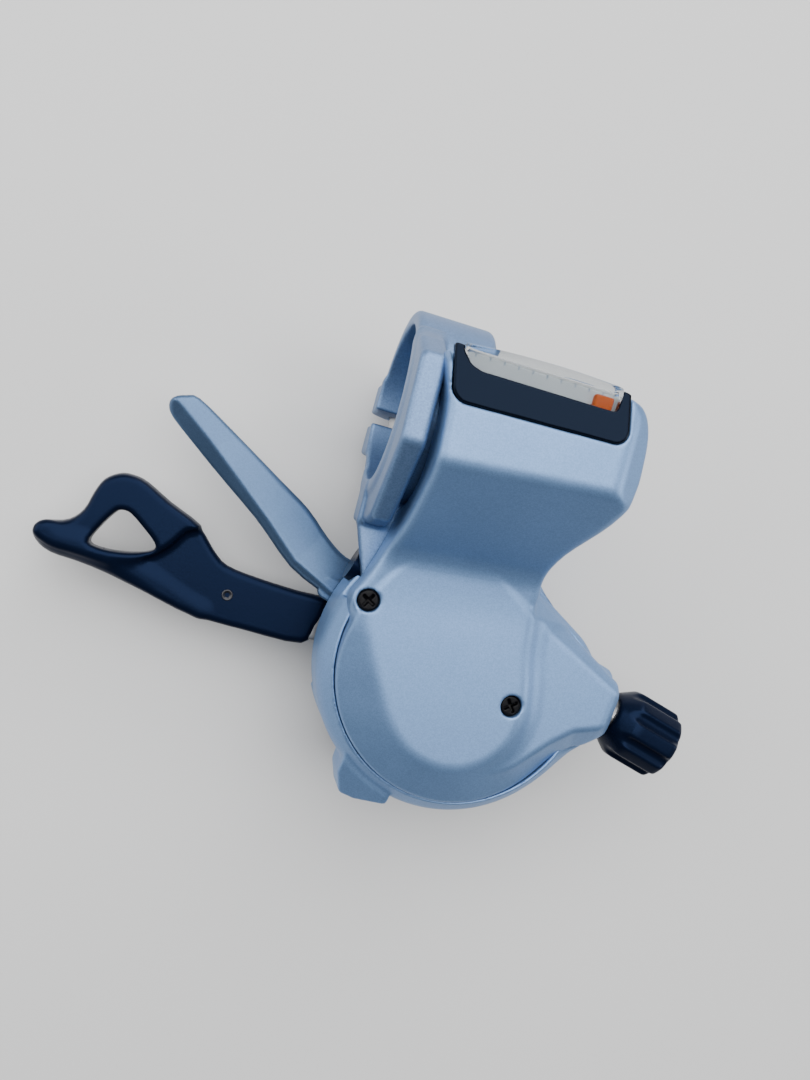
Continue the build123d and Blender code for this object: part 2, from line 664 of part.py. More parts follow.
def make_indicator_base():
    """Curved plate that closes the display shell from below."""
    shell = bar(SWEEP_R + 0.9, DISPLAY_L + WALL + 0.2, DISPLAY_R - WALL - 0.6)
    shell = shell - bar(SWEEP_R, -60, 60)
    return shell & block(-60, 60, -2.8, DISPLAY_FRONT - WALL - 0.2, 5, DISPLAY_Z)


def make_indicator_needle():
    x = NEEDLE_X
    head = block(x - 1.15, x + 1.15, 3.8, 5.7, DISPLAY_Z - 2.1, DISPLAY_Z - 1.35)
    stem = block(x - 0.5, x + 0.5, 4.3, 5.3, SWEEP_R + 0.9, DISPLAY_Z - 1.7)
    return head + stem


def make_adjuster_insert():
    sleeve = span(BARREL_R + 1.1, -9.5, 0.0) + span(BARREL_R + 1.7, 0.0, 1.2)
    return sleeve - span(BARREL_R + RUN, -20, 10)


def make_adjuster_barrel():
    body = span(BARREL_R, -9.0, KNOB_START + KNOB_LEN)
    return body - span(CASING_R, 5.4, KNOB_LEN + 6) - span(0.8, -12, KNOB_LEN)


def make_adjuster_knob():
    s0 = KNOB_START
    s1 = s0 + KNOB_LEN
    taper = adjuster(loft([Pos(0, 0, s0) * Circle(KNOB_R - 1.7), Pos(0, 0, s0 + 2.6) * Circle(KNOB_R)]))
    body = taper + span(KNOB_R, s0 + 2.6, s1 - 1.0)
    end = loft([Pos(0, 0, s1 - 1.0) * Circle(KNOB_R), Pos(0, 0, s1) * Circle(KNOB_R - 0.9)])
    body = body + adjuster(end)
    for k in range(KNOB_LOBES):
        a = 2 * math.pi * (k + 0.5) / KNOB_LOBES
        r = KNOB_R + 0.75
        flute = Pos(r * math.cos(a), r * math.sin(a), s0 + 9.0) * Cylinder(1.6, 15.0)
        body = body - adjuster(flute)
    return body - span(BARREL_R + RUN, -5, 40)


def make_cable_plug():
    """Small screw plug in the cable change hole, on the far side from the adjuster."""
    line = -(AX - ARM_END_X) * CT
    reach = line + math.sqrt(POD_IN ** 2 - GROOVE_R ** 2)
    return span(2.6, -reach - WALL - 0.6, -reach + 0.2)


def plug_reach():
    line = -(AX - ARM_END_X) * CT
    return line + math.sqrt(POD_IN ** 2 - GROOVE_R ** 2)


def main():
    reach = plug_reach()
    housing = make_lower_housing()
    housing = housing - span(2.6, -reach - WALL - 6.0, -reach + 1.5)
    save(make_clamp_bracket(), "clamp_bracket")
    save(make_clamp_bolt(), "clamp_bolt")
    save(make_upper_cover(), "upper_cover")
    save(make_cover_screws(), "cover_screws")
    save(housing, "lower_housing")
    save(make_base_plate(), "base_plate")
    save(make_frame_posts(), "frame_posts")
    save(make_base_screws(), "base_screws")
    save(make_cable_plug(), "cable_plug")
    save(make_main_axle(), "main_axle")
    save(make_axle_nut(), "axle_nut")
    save(ring_at(5.4, AXLE_R, FLOOR_BOT - 0.8, FLOOR_BOT), "axle_washer")
    save(ring_at(4.4, AXLE_R, RELEASE_TOP + 0.1, RATCHET_BOT - 0.1), "spacer_upper")
    save(ring_at(4.4, AXLE_R, MAIN_TOP + 0.1, RELEASE_BOT - 0.1), "spacer_middle")
    save(ring_at(6.0, AXLE_R, BASE_TOP, MAIN_BOT - 0.1), "spacer_lower")
    save(coil((GROOVE_R + AXLE_R + 0.1) / 2, 0.3, DRUM_TOP - 0.6, 200, 0.8), "drum_spring")
    save(coil(5.2, 0.4, (RELEASE_TOP + RATCHET_BOT) / 2, 250), "release_spring")
    save(coil(5.4, 0.3, (MAIN_TOP + RELEASE_BOT) / 2, 320), "main_spring")
    save(make_winding_drum(), "winding_drum")
    save(make_ratchet_wheel(), "ratchet_wheel")
    (dx, dy) = polar(PIN_ORBIT, DRIVE_ANGLE)
    lifted = Pos(dx, dy, 0) * Rot(0, 0, DRIVE_LIFT) * Pos(-dx, -dy, 0)
    save(lifted * pawl(DRIVE_ANGLE, DRIVE_ANGLE - 27, DRIVE_ANGLE + 16), "drive_pawl")
    save(make_drive_pin(), "drive_pawl_pin")
    save(pin_spring(DRIVE_ANGLE, PAWL_BOT - 0.6), "drive_pawl_spring")
    save(pawl(HOLD_ANGLE, HOLD_ANGLE - 27, HOLD_ANGLE + 16), "hold_pawl")
    save(make_hold_pin(), "hold_pawl_pin")
    save(pin_spring(HOLD_ANGLE, PAWL_TOP + 0.6), "hold_pawl_spring")
    save(make_main_lever(), "main_lever")
    save(make_lever_pad(), "lever_pad")
    save(make_pad_rivet(), "pad_rivet")
    save(make_release_lever(), "release_lever")
    save(make_window_mask(), "window_mask")
    save(make_window_lens(), "window_lens")
    save(make_indicator_scale(), "indicator_scale")
    save(make_indicator_base(), "indicator_base")
    save(make_indicator_needle(), "indicator_needle")
    save(make_adjuster_insert(), "adjuster_insert")
    save(make_adjuster_barrel(), "adjuster_barrel")
    save(make_adjuster_knob(), "adjuster_knob")


main()
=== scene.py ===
"""Left-hand trigger shifter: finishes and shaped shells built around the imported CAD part."""

import enum
import itertools
import json
import logging
import math
from dataclasses import dataclass
from typing import Callable, Sequence

import bpy
import numpy as np
from mathutils import Matrix, Vector

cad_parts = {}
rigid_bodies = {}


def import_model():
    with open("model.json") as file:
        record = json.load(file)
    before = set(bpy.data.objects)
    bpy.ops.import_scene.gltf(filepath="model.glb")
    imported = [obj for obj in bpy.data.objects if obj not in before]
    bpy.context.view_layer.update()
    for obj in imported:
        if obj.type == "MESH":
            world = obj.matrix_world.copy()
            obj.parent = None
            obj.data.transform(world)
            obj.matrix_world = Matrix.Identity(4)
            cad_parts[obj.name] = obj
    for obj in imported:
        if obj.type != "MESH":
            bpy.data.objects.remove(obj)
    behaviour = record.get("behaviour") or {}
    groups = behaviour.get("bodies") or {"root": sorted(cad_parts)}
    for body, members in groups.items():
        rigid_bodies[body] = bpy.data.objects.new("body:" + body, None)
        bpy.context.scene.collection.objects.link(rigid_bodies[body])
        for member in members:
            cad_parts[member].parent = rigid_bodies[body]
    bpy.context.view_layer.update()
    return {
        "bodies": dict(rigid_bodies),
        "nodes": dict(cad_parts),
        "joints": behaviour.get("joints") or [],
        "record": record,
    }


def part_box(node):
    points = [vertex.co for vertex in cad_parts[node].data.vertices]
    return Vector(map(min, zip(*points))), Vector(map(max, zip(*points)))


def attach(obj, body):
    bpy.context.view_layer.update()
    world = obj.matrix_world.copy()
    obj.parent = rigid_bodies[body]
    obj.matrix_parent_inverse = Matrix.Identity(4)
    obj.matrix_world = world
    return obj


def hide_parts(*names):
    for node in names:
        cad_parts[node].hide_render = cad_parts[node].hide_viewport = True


Array = np.ndarray
Field = Callable[[Array, Array, Array], Array]
Plan = Callable[[Array, Array], Array]
Points = Sequence[tuple[float, ...]]

LOG = logging.getLogger("shifter")
MM = 0.001  # every size below is in millimetres until it reaches a mesh
AXIS = (14.0, -34.0)  # lever axis in plan
HUB = (14.4, -34.6)  # centre of the round shells
AXLE_HOLE = 3.05
ARM_END = (36.6, -34.8, -4.0)  # adjuster axis at the end of the arm
TILT = math.radians(-16.0)  # adjuster axis from X
SCREWS = ((-2.0, -27.2), (21.2, -36.6))
POST_ANGLES = (42.0, -30.0, 220.0)
POST_ORBIT = 16.2
BORE = 11.15
FLOOR_Z = -24.5
CLEAR_IOR = 1.12
SOLID_IOR = 1.46


class Detail(enum.Enum):
    """Grid step of a shaped piece in millimetres."""

    FINE = 0.2
    MEDIUM = 0.28
    SHELL = 0.33
    POST = 0.22
    BLOCK = 0.25
    RIVET = 0.1
    SCREW = 0.09


# ---------------------------------------------------------------- distance fields


def loop(points: Points, steps: int = 5, closed: bool = True) -> Array:
    """Passes a smooth curve through points.

    Args:
        points: plan points in millimetres.
        steps: pieces between two points.
        closed: whether the last point joins the first.

    Returns:
        An (n, 2) array of points along the curve.
    """
    p = np.array(points, dtype=float)
    n = len(p)
    out = []
    for i in range(n if closed else n - 1):
        if closed:
            a, b, c, d = (p[(i + k) % n] for k in (-1, 0, 1, 2))
        else:
            a, b, c, d = (p[min(max(i + k, 0), n - 1)] for k in (-1, 0, 1, 2))
        for t in np.arange(steps) / steps:
            square = (2 * a - 5 * b + 4 * c - d) * t**2
            cube = (3 * b - a - 3 * c + d) * t**3
            out.append(0.5 * (2 * b + (c - a) * t + square + cube))
    if not closed:
        out.append(p[-1])
    return np.array(out)


def filleted(points: Sequence[tuple[float, float, float]]) -> Array:
    """Rounds the corners of a polygon.

    Args:
        points: (u, v, radius) corners in millimetres.

    Returns:
        An (n, 2) array with an arc of six points at each rounded corner.
    """
    out = []
    n = len(points)
    for i, (u, v, r) in enumerate(points):
        p = np.array((u, v))
        if r <= 0:
            out.append(p)
            continue
        a = np.array(points[i - 1][:2]) - p
        b = np.array(points[(i + 1) % n][:2]) - p
        a, b = a / np.linalg.norm(a), b / np.linalg.norm(b)
        half = math.acos(float(np.clip(a @ b, -1, 1))) / 2
        centre = p + (a + b) / np.linalg.norm(a + b) * r / math.sin(half)
        start, end = p + a * r / math.tan(half) - centre, p + b * r / math.tan(half) - centre
        for t in np.linspace(0, 1, 7):
            q = start * (1 - t) + end * t
            out.append(centre + q / np.linalg.norm(q) * r)
    return np.array(out)


def polygon(points: Array) -> Plan:
    """Returns the signed distance to a closed polygon, negative inside."""
    p = np.asarray(points, dtype=float)
    q = np.roll(p, -1, axis=0)

    def distance(x: Array, y: Array) -> Array:
        """Signed distance at each point."""
        best = np.full(x.shape, 1e9)
        inside = np.zeros(x.shape, dtype=bool)
        for (ax, ay), (bx, by) in zip(p, q):
            ex, ey = bx - ax, by - ay
            wx, wy = x - ax, y - ay
            t = np.clip((wx * ex + wy * ey) / (ex * ex + ey * ey + 1e-12), 0, 1)
            best = np.minimum(best, (wx - t * ex) ** 2 + (wy - t * ey) ** 2)
            if ey != 0:
                inside ^= ((ay <= y) != (by <= y)) & (x < ax + wy * ex / ey)
        return np.where(inside, -1, 1) * np.sqrt(best)

    return distance


def strand(points: Array) -> Plan:
    """Returns the plain distance to an open polyline."""
    p = np.asarray(points, dtype=float)

    def distance(x: Array, y: Array) -> Array:
        """Distance at each point."""
        best = np.full(x.shape, 1e9)
        for (ax, ay), (bx, by) in zip(p[:-1], p[1:]):
            ex, ey = bx - ax, by - ay
            t = np.clip(((x - ax) * ex + (y - ay) * ey) / (ex * ex + ey * ey), 0, 1)
            best = np.minimum(best, (x - ax - t * ex) ** 2 + (y - ay - t * ey) ** 2)
        return np.sqrt(best)

    return distance


def join(a: Array, b: Array, k: float = 0.5) -> Array:
    """Union of two fields with a fillet of about k millimetres."""
    h = np.maximum(k - np.abs(a - b), 0) / k
    return np.minimum(a, b) - h * h * k / 4


def meet(a: Array, b: Array, k: float = 0.5) -> Array:
    """Intersection of two fields with an edge rounded by about k millimetres."""
    return -join(-a, -b, k)


def cut(a: Array, b: Array, k: float = 0.3) -> Array:
    """Field a with field b taken away."""
    return meet(a, -b, k)


def box(x: Array, y: Array, z: Array, lo: Sequence[float], hi: Sequence[float], k: float = 0.3) -> Array:
    """Field of an axis-aligned block between two corners."""
    f = None
    for c, a, b in zip((x, y, z), lo, hi):
        d = np.abs(c - (a + b) / 2) - (b - a) / 2
        f = d if f is None else meet(f, d, k)
    return f


def polar(degrees: float, radius: float) -> tuple[float, float]:
    """Plan point at an angle and distance from the lever axis."""
    turn = math.radians(degrees)
    return AXIS[0] + radius * math.cos(turn), AXIS[1] + radius * math.sin(turn)


def spread(x: Array, y: Array, centre: Sequence[float]) -> Array:
    """Plan distance from a centre."""
    return np.hypot(x - centre[0], y - centre[1])


def slab(plan: Array, z: Array, z0: float, z1: float, k: float = 0.4) -> Array:
    """Field of a plan shape drawn out between two heights."""
    return meet(plan, np.abs(z - (z0 + z1) / 2) - (z1 - z0) / 2, k)


def beyond_side(x: Array, y: Array) -> Array:
    """Distance past the pod's straight side, between the neck and the arm."""
    return 0.521 * (x - 24.1) + 0.853 * (y + 22.2)


def along_adjuster(x: Array, y: Array, z: Array) -> tuple[Array, Array, Array]:
    """Returns distance along, across and above the adjuster axis."""
    c, s = math.cos(TILT), math.sin(TILT)
    dx, dy = x - ARM_END[0], y - ARM_END[1]
    return dx * c + dy * s, -dx * s + dy * c, z - ARM_END[2]


def surface(name: str, field: Field, lo: Sequence[float], hi: Sequence[float], step: float) -> bpy.types.Object:
    """Meshes the zero level of a field with surface nets.

    Args:
        name: object name.
        field: distance field in millimetres.
        lo: lowest corner of the grid.
        hi: highest corner of the grid.
        step: grid step in millimetres.

    Returns:
        A smooth-shaded closed mesh object at the origin, in metres.
    """
    lo = np.array(lo, dtype=float) - 2 * step
    blocks = np.ceil((np.array(hi) + 2 * step - lo) / step / 4).astype(int) + 1
    bx, by, bz = np.meshgrid(*(np.arange(n) for n in blocks), indexing="ij")
    mid = [lo[i] + (4 * b + 1.5) * step for i, b in enumerate((bx, by, bz))]
    value = field(*(m.ravel() for m in mid)).reshape(bx.shape)
    live = np.abs(value) < step * 4.6
    full = np.repeat(np.repeat(np.repeat(np.where(value < 0, -1.0, 1.0) * 9, 4, 0), 4, 1), 4, 2)
    cells = np.argwhere(live)
    local = np.stack(np.meshgrid(*(np.arange(4),) * 3, indexing="ij"), -1).reshape(-1, 3)
    idx = (cells[:, None, :] * 4 + local[None]).reshape(-1, 3)
    for part in np.array_split(idx, max(1, len(idx) // 200000)):
        p = lo + part * step
        full[part[:, 0], part[:, 1], part[:, 2]] = field(p[:, 0], p[:, 1], p[:, 2])
    solid = full < 0
    near, next_one = slice(0, -1), slice(1, None)
    corners = itertools.product((near, next_one), repeat=3)
    count = sum(solid[corner].astype(np.int8) for corner in corners)
    where = np.argwhere((count > 0) & (count < 8))
    number = np.full(count.shape, -1, dtype=np.int64)
    number[tuple(where.T)] = np.arange(len(where))
    total, hits = np.zeros((len(where), 3)), np.zeros(len(where))
    for axis in range(3):
        others = [a for a in range(3) if a != axis]
        for u in (0, 1):
            for v in (0, 1):
                off = np.zeros(3, dtype=int)
                off[others[0]], off[others[1]] = u, v
                far = off.copy()
                far[axis] = 1
                a = full[tuple((where + off).T)]
                b = full[tuple((where + far).T)]
                crossing = (a < 0) != (b < 0)
                t = np.where(crossing, a / np.where(crossing, a - b, 1), 0)
                point = where + off + 0.0
                point[:, axis] += t
                total += point * crossing[:, None]
                hits += crossing
    points = lo + total / hits[:, None] * step
    e = step * 0.15
    for _ in range(2):
        f = field(*points.T)
        grad = np.stack([(field(*(points + d).T) - field(*(points - d).T)) / (2 * e) for d in np.eye(3) * e], 1)
        move = -f[:, None] * grad / np.maximum((grad**2).sum(1), 0.05)[:, None]
        size = np.linalg.norm(move, axis=1, keepdims=True)
        points += move * np.minimum(1, 0.5 * step / np.maximum(size, 1e-9))
    quads = []
    for axis in range(3):
        head, tail = [slice(None)] * 3, [slice(None)] * 3
        head[axis], tail[axis] = slice(0, -1), slice(1, None)
        a, b = solid[tuple(head)], solid[tuple(tail)]
        for starts in (True, False):
            edge = np.argwhere((a & ~b) if starts else (~a & b))
            u, v = np.eye(3, dtype=int)[(axis + 1) % 3], np.eye(3, dtype=int)[(axis + 2) % 3]
            ring = [edge - u - v, edge - v, edge, edge - u]
            quad = np.stack([number[tuple(r.T)] for r in ring], 1)
            quads.append(quad if starts else quad[:, ::-1])
    mesh = bpy.data.meshes.new(name)
    mesh.from_pydata((points * MM).tolist(), [], np.concatenate(quads).tolist())
    mesh.shade_smooth()
    obj = bpy.data.objects.new(name, mesh)
    bpy.context.scene.collection.objects.link(obj)
    return obj


# ---------------------------------------------------------------- finishes


@dataclass(frozen=True)
class Finish:
    """A procedural finish: tone drift, fine flakes and a bumpy skin.

    Sizes are in millimetres; tone, flake and grain are strengths.
    """

    name: str
    color: tuple[float, float, float]
    metallic: float = 0.0
    rough: float = 0.4
    tone: float = 0.12
    tone_size: float = 9.0
    flake: float = 0.0
    flake_size: float = 0.25
    grain: float = 0.2
    grain_size: float = 0.35
    transmission: float = 0.0
    stretch: tuple[float, float, float] = (1.0, 1.0, 1.0)
    shine: float = 0.5
    tint: tuple[float, float, float] = (1.0, 1.0, 1.0)

    def build(self) -> bpy.types.Material:
        """Creates the node material and returns it."""
        mat = bpy.data.materials.new(self.name)
        mat.use_nodes = True
        tree = mat.node_tree
        new, link = tree.nodes.new, tree.links.new
        shader = tree.nodes["Principled BSDF"]
        shader.inputs["Metallic"].default_value = self.metallic
        shader.inputs["Transmission Weight"].default_value = self.transmission
        shader.inputs["IOR"].default_value = CLEAR_IOR if self.transmission else SOLID_IOR
        shader.inputs["Specular Tint"].default_value = (*self.tint, 1)
        shader.inputs["Specular IOR Level"].default_value = self.shine
        place = new("ShaderNodeTexCoord")
        mapping = new("ShaderNodeMapping")
        mapping.inputs["Scale"].default_value = self.stretch
        link(place.outputs["Object"], mapping.inputs["Vector"])
        drift = self._noise(new, link, mapping, self.tone_size, 3)
        flakes = new("ShaderNodeTexVoronoi")
        flakes.inputs["Scale"].default_value = 1000 / self.flake_size
        link(mapping.outputs["Vector"], flakes.inputs["Vector"])
        split = new("ShaderNodeSeparateColor")
        link(flakes.outputs["Color"], split.inputs["Color"])
        shade = new("ShaderNodeMath")
        shade.operation = "MULTIPLY_ADD"
        shade.inputs[1].default_value = self.flake
        link(split.outputs["Red"], shade.inputs[0])
        soft = new("ShaderNodeMath")
        soft.operation = "MULTIPLY_ADD"
        soft.inputs[1].default_value = self.tone
        soft.inputs[2].default_value = 0.5 - self.tone / 2 - self.flake / 2
        link(drift.outputs["Fac"], soft.inputs[0])
        link(soft.outputs["Value"], shade.inputs[2])
        ramp = new("ShaderNodeValToRGB")
        ramp.color_ramp.elements[0].color = (*(c * 0.35 for c in self.color), 1)
        ramp.color_ramp.elements[1].color = (*(min(1.0, c * 1.65) for c in self.color), 1)
        link(shade.outputs["Value"], ramp.inputs["Fac"])
        link(ramp.outputs["Color"], shader.inputs["Base Color"])
        spread = new("ShaderNodeMapRange")
        spread.inputs["To Min"].default_value = max(0.02, self.rough * 0.75)
        spread.inputs["To Max"].default_value = min(1.0, self.rough * 1.25)
        link(drift.outputs["Fac"], spread.inputs["Value"])
        link(spread.outputs["Result"], shader.inputs["Roughness"])
        skin = self._noise(new, link, mapping, self.grain_size, 2)
        bump = new("ShaderNodeBump")
        bump.inputs["Strength"].default_value = self.grain
        bump.inputs["Distance"].default_value = self.grain_size * 0.25 * MM
        link(skin.outputs["Fac"], bump.inputs["Height"])
        link(bump.outputs["Normal"], shader.inputs["Normal"])
        return mat

    @staticmethod
    def _noise(new: Callable, link: Callable, mapping: bpy.types.Node, size: float, detail: int) -> bpy.types.Node:
        """Adds a noise texture with features of the given size in millimetres."""
        node = new("ShaderNodeTexNoise")
        node.inputs["Scale"].default_value = 1000 / size
        node.inputs["Detail"].default_value = detail
        link(mapping.outputs["Vector"], node.inputs["Vector"])
        return node


FINISHES = {
    finish.name: finish
    for finish in (
        Finish(
            "silver_paint", (0.165, 0.285, 0.51), 0.7, 0.46,
            tone=0.06, flake=0.14, flake_size=0.14, grain=0.1, grain_size=0.25,
        ),
        # the clamp has the same silver paint as the cover; its coarser flake and grain are its own, while its base
        # colour is darkened by about a quarter as painted shade
        Finish(
            "cast_silver", (0.13, 0.215, 0.38), 0.75, 0.42,
            tone=0.08, flake=0.18, flake_size=0.18, grain=0.18, grain_size=0.3,
        ),
        # the release lever has the same silver paint as the cover; this copy is darkened to about half as painted
        # shade
        Finish(
            "silver_lever", (0.078, 0.135, 0.24), 0.75, 0.38,
            tone=0.06, flake=0.12, flake_size=0.14, grain=0.08,
        ),
        Finish("steel", (0.50, 0.50, 0.50), 1.0, 0.3, tone=0.3, grain=0.25, stretch=(0.15, 1.0, 1.0)),
        Finish("spring_steel", (0.36, 0.35, 0.34), 1.0, 0.35, grain=0.1),
        Finish("black_steel", (0.003, 0.003, 0.004), 0.0, 0.34, grain=0.15, shine=0.12),
        Finish(
            "black_plastic", (0.002, 0.004, 0.012), 0.0, 0.3,
            tone=0.3, grain=0.15, grain_size=0.3, shine=0.2, tint=(0.25, 0.42, 1.0),
        ),
        Finish("dark_plastic", (0.02, 0.02, 0.022), 0.0, 0.5, grain=0.3, shine=0.3),
        Finish("pale_plastic", (0.6, 0.58, 0.52), 0.0, 0.5),
        Finish("gloss_black", (0.002, 0.003, 0.006), 0.0, 0.2, grain=0.05, shine=0.2, tint=(0.3, 0.45, 0.8)),
        Finish("clear_lens", (0.78, 0.92, 1.0), 0.0, 0.05, tone=0.02, grain=0.01, transmission=1.0, shine=0.6),
        Finish("scale_white", (0.60, 0.72, 0.86), 0.0, 0.5, tone=0.08),
        Finish("tick_grey", (0.30, 0.36, 0.43), 0.0, 0.5, tone=0.1),
        Finish("orange", (0.85, 0.10, 0.006), 0.0, 0.5, tone=0.1, shine=0.2),
        Finish("dark_metal", (0.05, 0.05, 0.055), 0.9, 0.42),
        Finish("aluminium", (0.45, 0.45, 0.46), 0.95, 0.3, grain=0.2),
        Finish("floor", (0.70, 0.70, 0.69), 0.0, 0.75, tone=0.02, tone_size=60, grain=0.02, grain_size=2),
    )
}


@dataclass
class Palette:
    """Keeps one material per finish name."""

    made: dict[str, bpy.types.Material]

    def get(self, name: str) -> bpy.types.Material:
        """Returns the material of a finish, made on first use."""
        if name not in self.made:
            self.made[name] = FINISHES[name].build()
        return self.made[name]

    def dress(self, obj: bpy.types.Object, name: str) -> None:
        """Gives an object one finish."""
        obj.data.materials.clear()
        obj.data.materials.append(self.get(name))


def publish(obj: bpy.types.Object, palette: Palette, finish: str, body: str, nodes: Sequence[str]) -> None:
    """Gives a finished piece its material, its body and the CAD nodes it stands for."""
    palette.dress(obj, finish)
    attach(obj, body)
    if nodes:
        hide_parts(*nodes)
    LOG.info("%s: %d faces on %s", obj.name, len(obj.data.polygons), body)


# ---------------------------------------------------------------- the pod


ARM_FLAT = 4.4
ARM_TOP = polygon(filleted([
    (18, -20, 0), (23.2, -24.6, 0.5), (36.5, -31.4, 0.8), (35.8, -36.9, 1.2), (31.7, -38.2, 2.5),
    (28.8, -40.5, 3.0), (24.1, -45.3, 5.0), (20.2, -46.8, 0), (15, -42, 0),
]))
ARM = polygon(filleted([
    (14, -16.0, 0), (24.1, -22.2, 0), (37.1, -30.2, 1.2), (37.9, -32.4, 1.2), (37.4, -37.9, 1.2),
    (34.3, -41.4, 2.5), (30.5, -45.6, 5.0), (26.5, -49.1, 5.0), (22.6, -51.3, 5.0), (18.6, -52.2, 4.0),
    (14.0, -51.6, 0), (10, -46, 0), (10, -40, 0),
]))


def arm_slope(x: Array, y: Array, z: Array) -> Array:
    """Field of the slope round the arm's flat top."""
    return (z - ARM_FLAT + 1.05 * ARM_TOP(x, y)) * 0.69


@dataclass
class Cover:
    """Upper cover: display, neck, raised flat, slope and the top of the adjuster arm."""

    wall: float = 1.6
    seam: float = 1.0
    top: float = 6.0
    rim: float = 18.1

    def __post_init__(self) -> None:
        """Prepares the plan and side outlines."""
        self.side = polygon(filleted([
            (6.9, -12, 0), (6.9, 9, 0), (7.5, 16.8, 1.4), (5.6, 19.5, 1.6), (-6.8, 19.5, 2.8), (-19.2, 6.5, 6.5),
            (-28, 4.9, 0), (-70, -4.0, 0), (-70, -12, 0),
        ]))
        self.neck = polygon(loop([
            (-2.9, 5.9), (-1.2, -0.4), (-0.7, -6.5), (-0.5, -11.0), (-1.0, -17.2), (-2.8, -23.4), (-4.4, -27.6),
            (-2.4, -31), (4, -35), (14, -37), (19.6, -31), (21.2, -22), (21.0, -18.4), (21.9, -14.5), (25.0, -9.3),
            (26.2, -4.5), (26.3, -1.5), (25.8, 2.5), (24.2, 5.2), (21, 6.8), (17, 7.2), (13, 7.4), (9, 7.3), (4, 7.0),
            (0, 6.6),
        ], 4))
        self.flat = polygon(loop([
            (-2.6, -24), (-1.9, -29.5), (-0.4, -32.9), (1.6, -36.8), (4.8, -42.2), (8.1, -45.5), (11.8, -46.9),
            (15.5, -46.9), (19.2, -45.1), (21.8, -42), (22.8, -38.1), (22.3, -33.7), (21.2, -29.1), (20.4, -23),
            (18, -18), (4, -18),
        ], 4))
        self.window = polygon(filleted([
            (-3.5, 12, 0), (-0.8, -0.35, 2.2), (22.6, 0.25, 1.7), (20.0, 12, 0),
        ]))

    def outer(self, x: Array, y: Array, z: Array) -> Array:
        """Field of the outside skin, closed far below the seam."""
        head = meet(self.side(y - 0.085 * (x - 12), z), self.neck(x, y), 1.5)
        head = meet(head, (x - 24.55) * 0.581 + (z - 18.25) * 0.814, 0.7)
        d = self.flat(x, y)
        dome = meet(z - self.top, (z - self.top + 0.62 * d) * 0.85, 0.5)
        dome = meet(dome, spread(x, y, HUB) - self.rim, 0.5)
        dome = meet(dome, (beyond_side(x, y) + 1.2) * 0.8 + (z - 3.4) * 0.6, 0.3)
        arm = meet(meet(z - ARM_FLAT, arm_slope(x, y, z), 0.5), ARM(x, y), 0.7)
        return join(join(dome, head, 0.9), arm, 0.7)

    def field(self, x: Array, y: Array, z: Array) -> Array:
        """Field of the finished shell."""
        outer = self.outer(x, y, z)
        bar = np.hypot(y, z)
        hollow = meet(outer + self.wall, z - 16.4, 0.2)
        f = cut(meet(outer, self.seam - z, 0.3), hollow, 0.2)
        for screw in SCREWS:
            r = spread(x, y, screw)
            f = join(f, meet(meet(r - 2.15, z - self.top + 0.9, 0.3), self.seam - z, 0.2), 0.4)
        f = cut(f, bar - 14.2, 0.3)
        f = cut(f, meet(self.window(x, y), 17.0 - z, 0.2), 0.25)
        f = cut(f, box(x, y, z, (-0.1, 5.4, 15.5), (19.8, 12, 18), 0.2), 0.2)
        for screw in SCREWS:
            r = spread(x, y, screw)
            f = cut(f, meet(r - 1.58, self.top - 2.2 - z, 0.1), 0.12)
            f = cut(f, meet(r - 1.0, -z, 0.1), 0.1)
        s, u, v = along_adjuster(x, y, z)
        return cut(f, meet(np.hypot(u, v) - 5.1, np.abs(s + 4) - 10, 0.2), 0.2)

    def build(self, palette: Palette) -> None:
        """Meshes the cover and registers it."""
        obj = surface("cover_shell", self.field, (-5.5, -56.5, 0.8), (38.5, 8, 20), Detail.MEDIUM.value)
        publish(obj, palette, "silver_paint", "housing", ["upper_cover"])


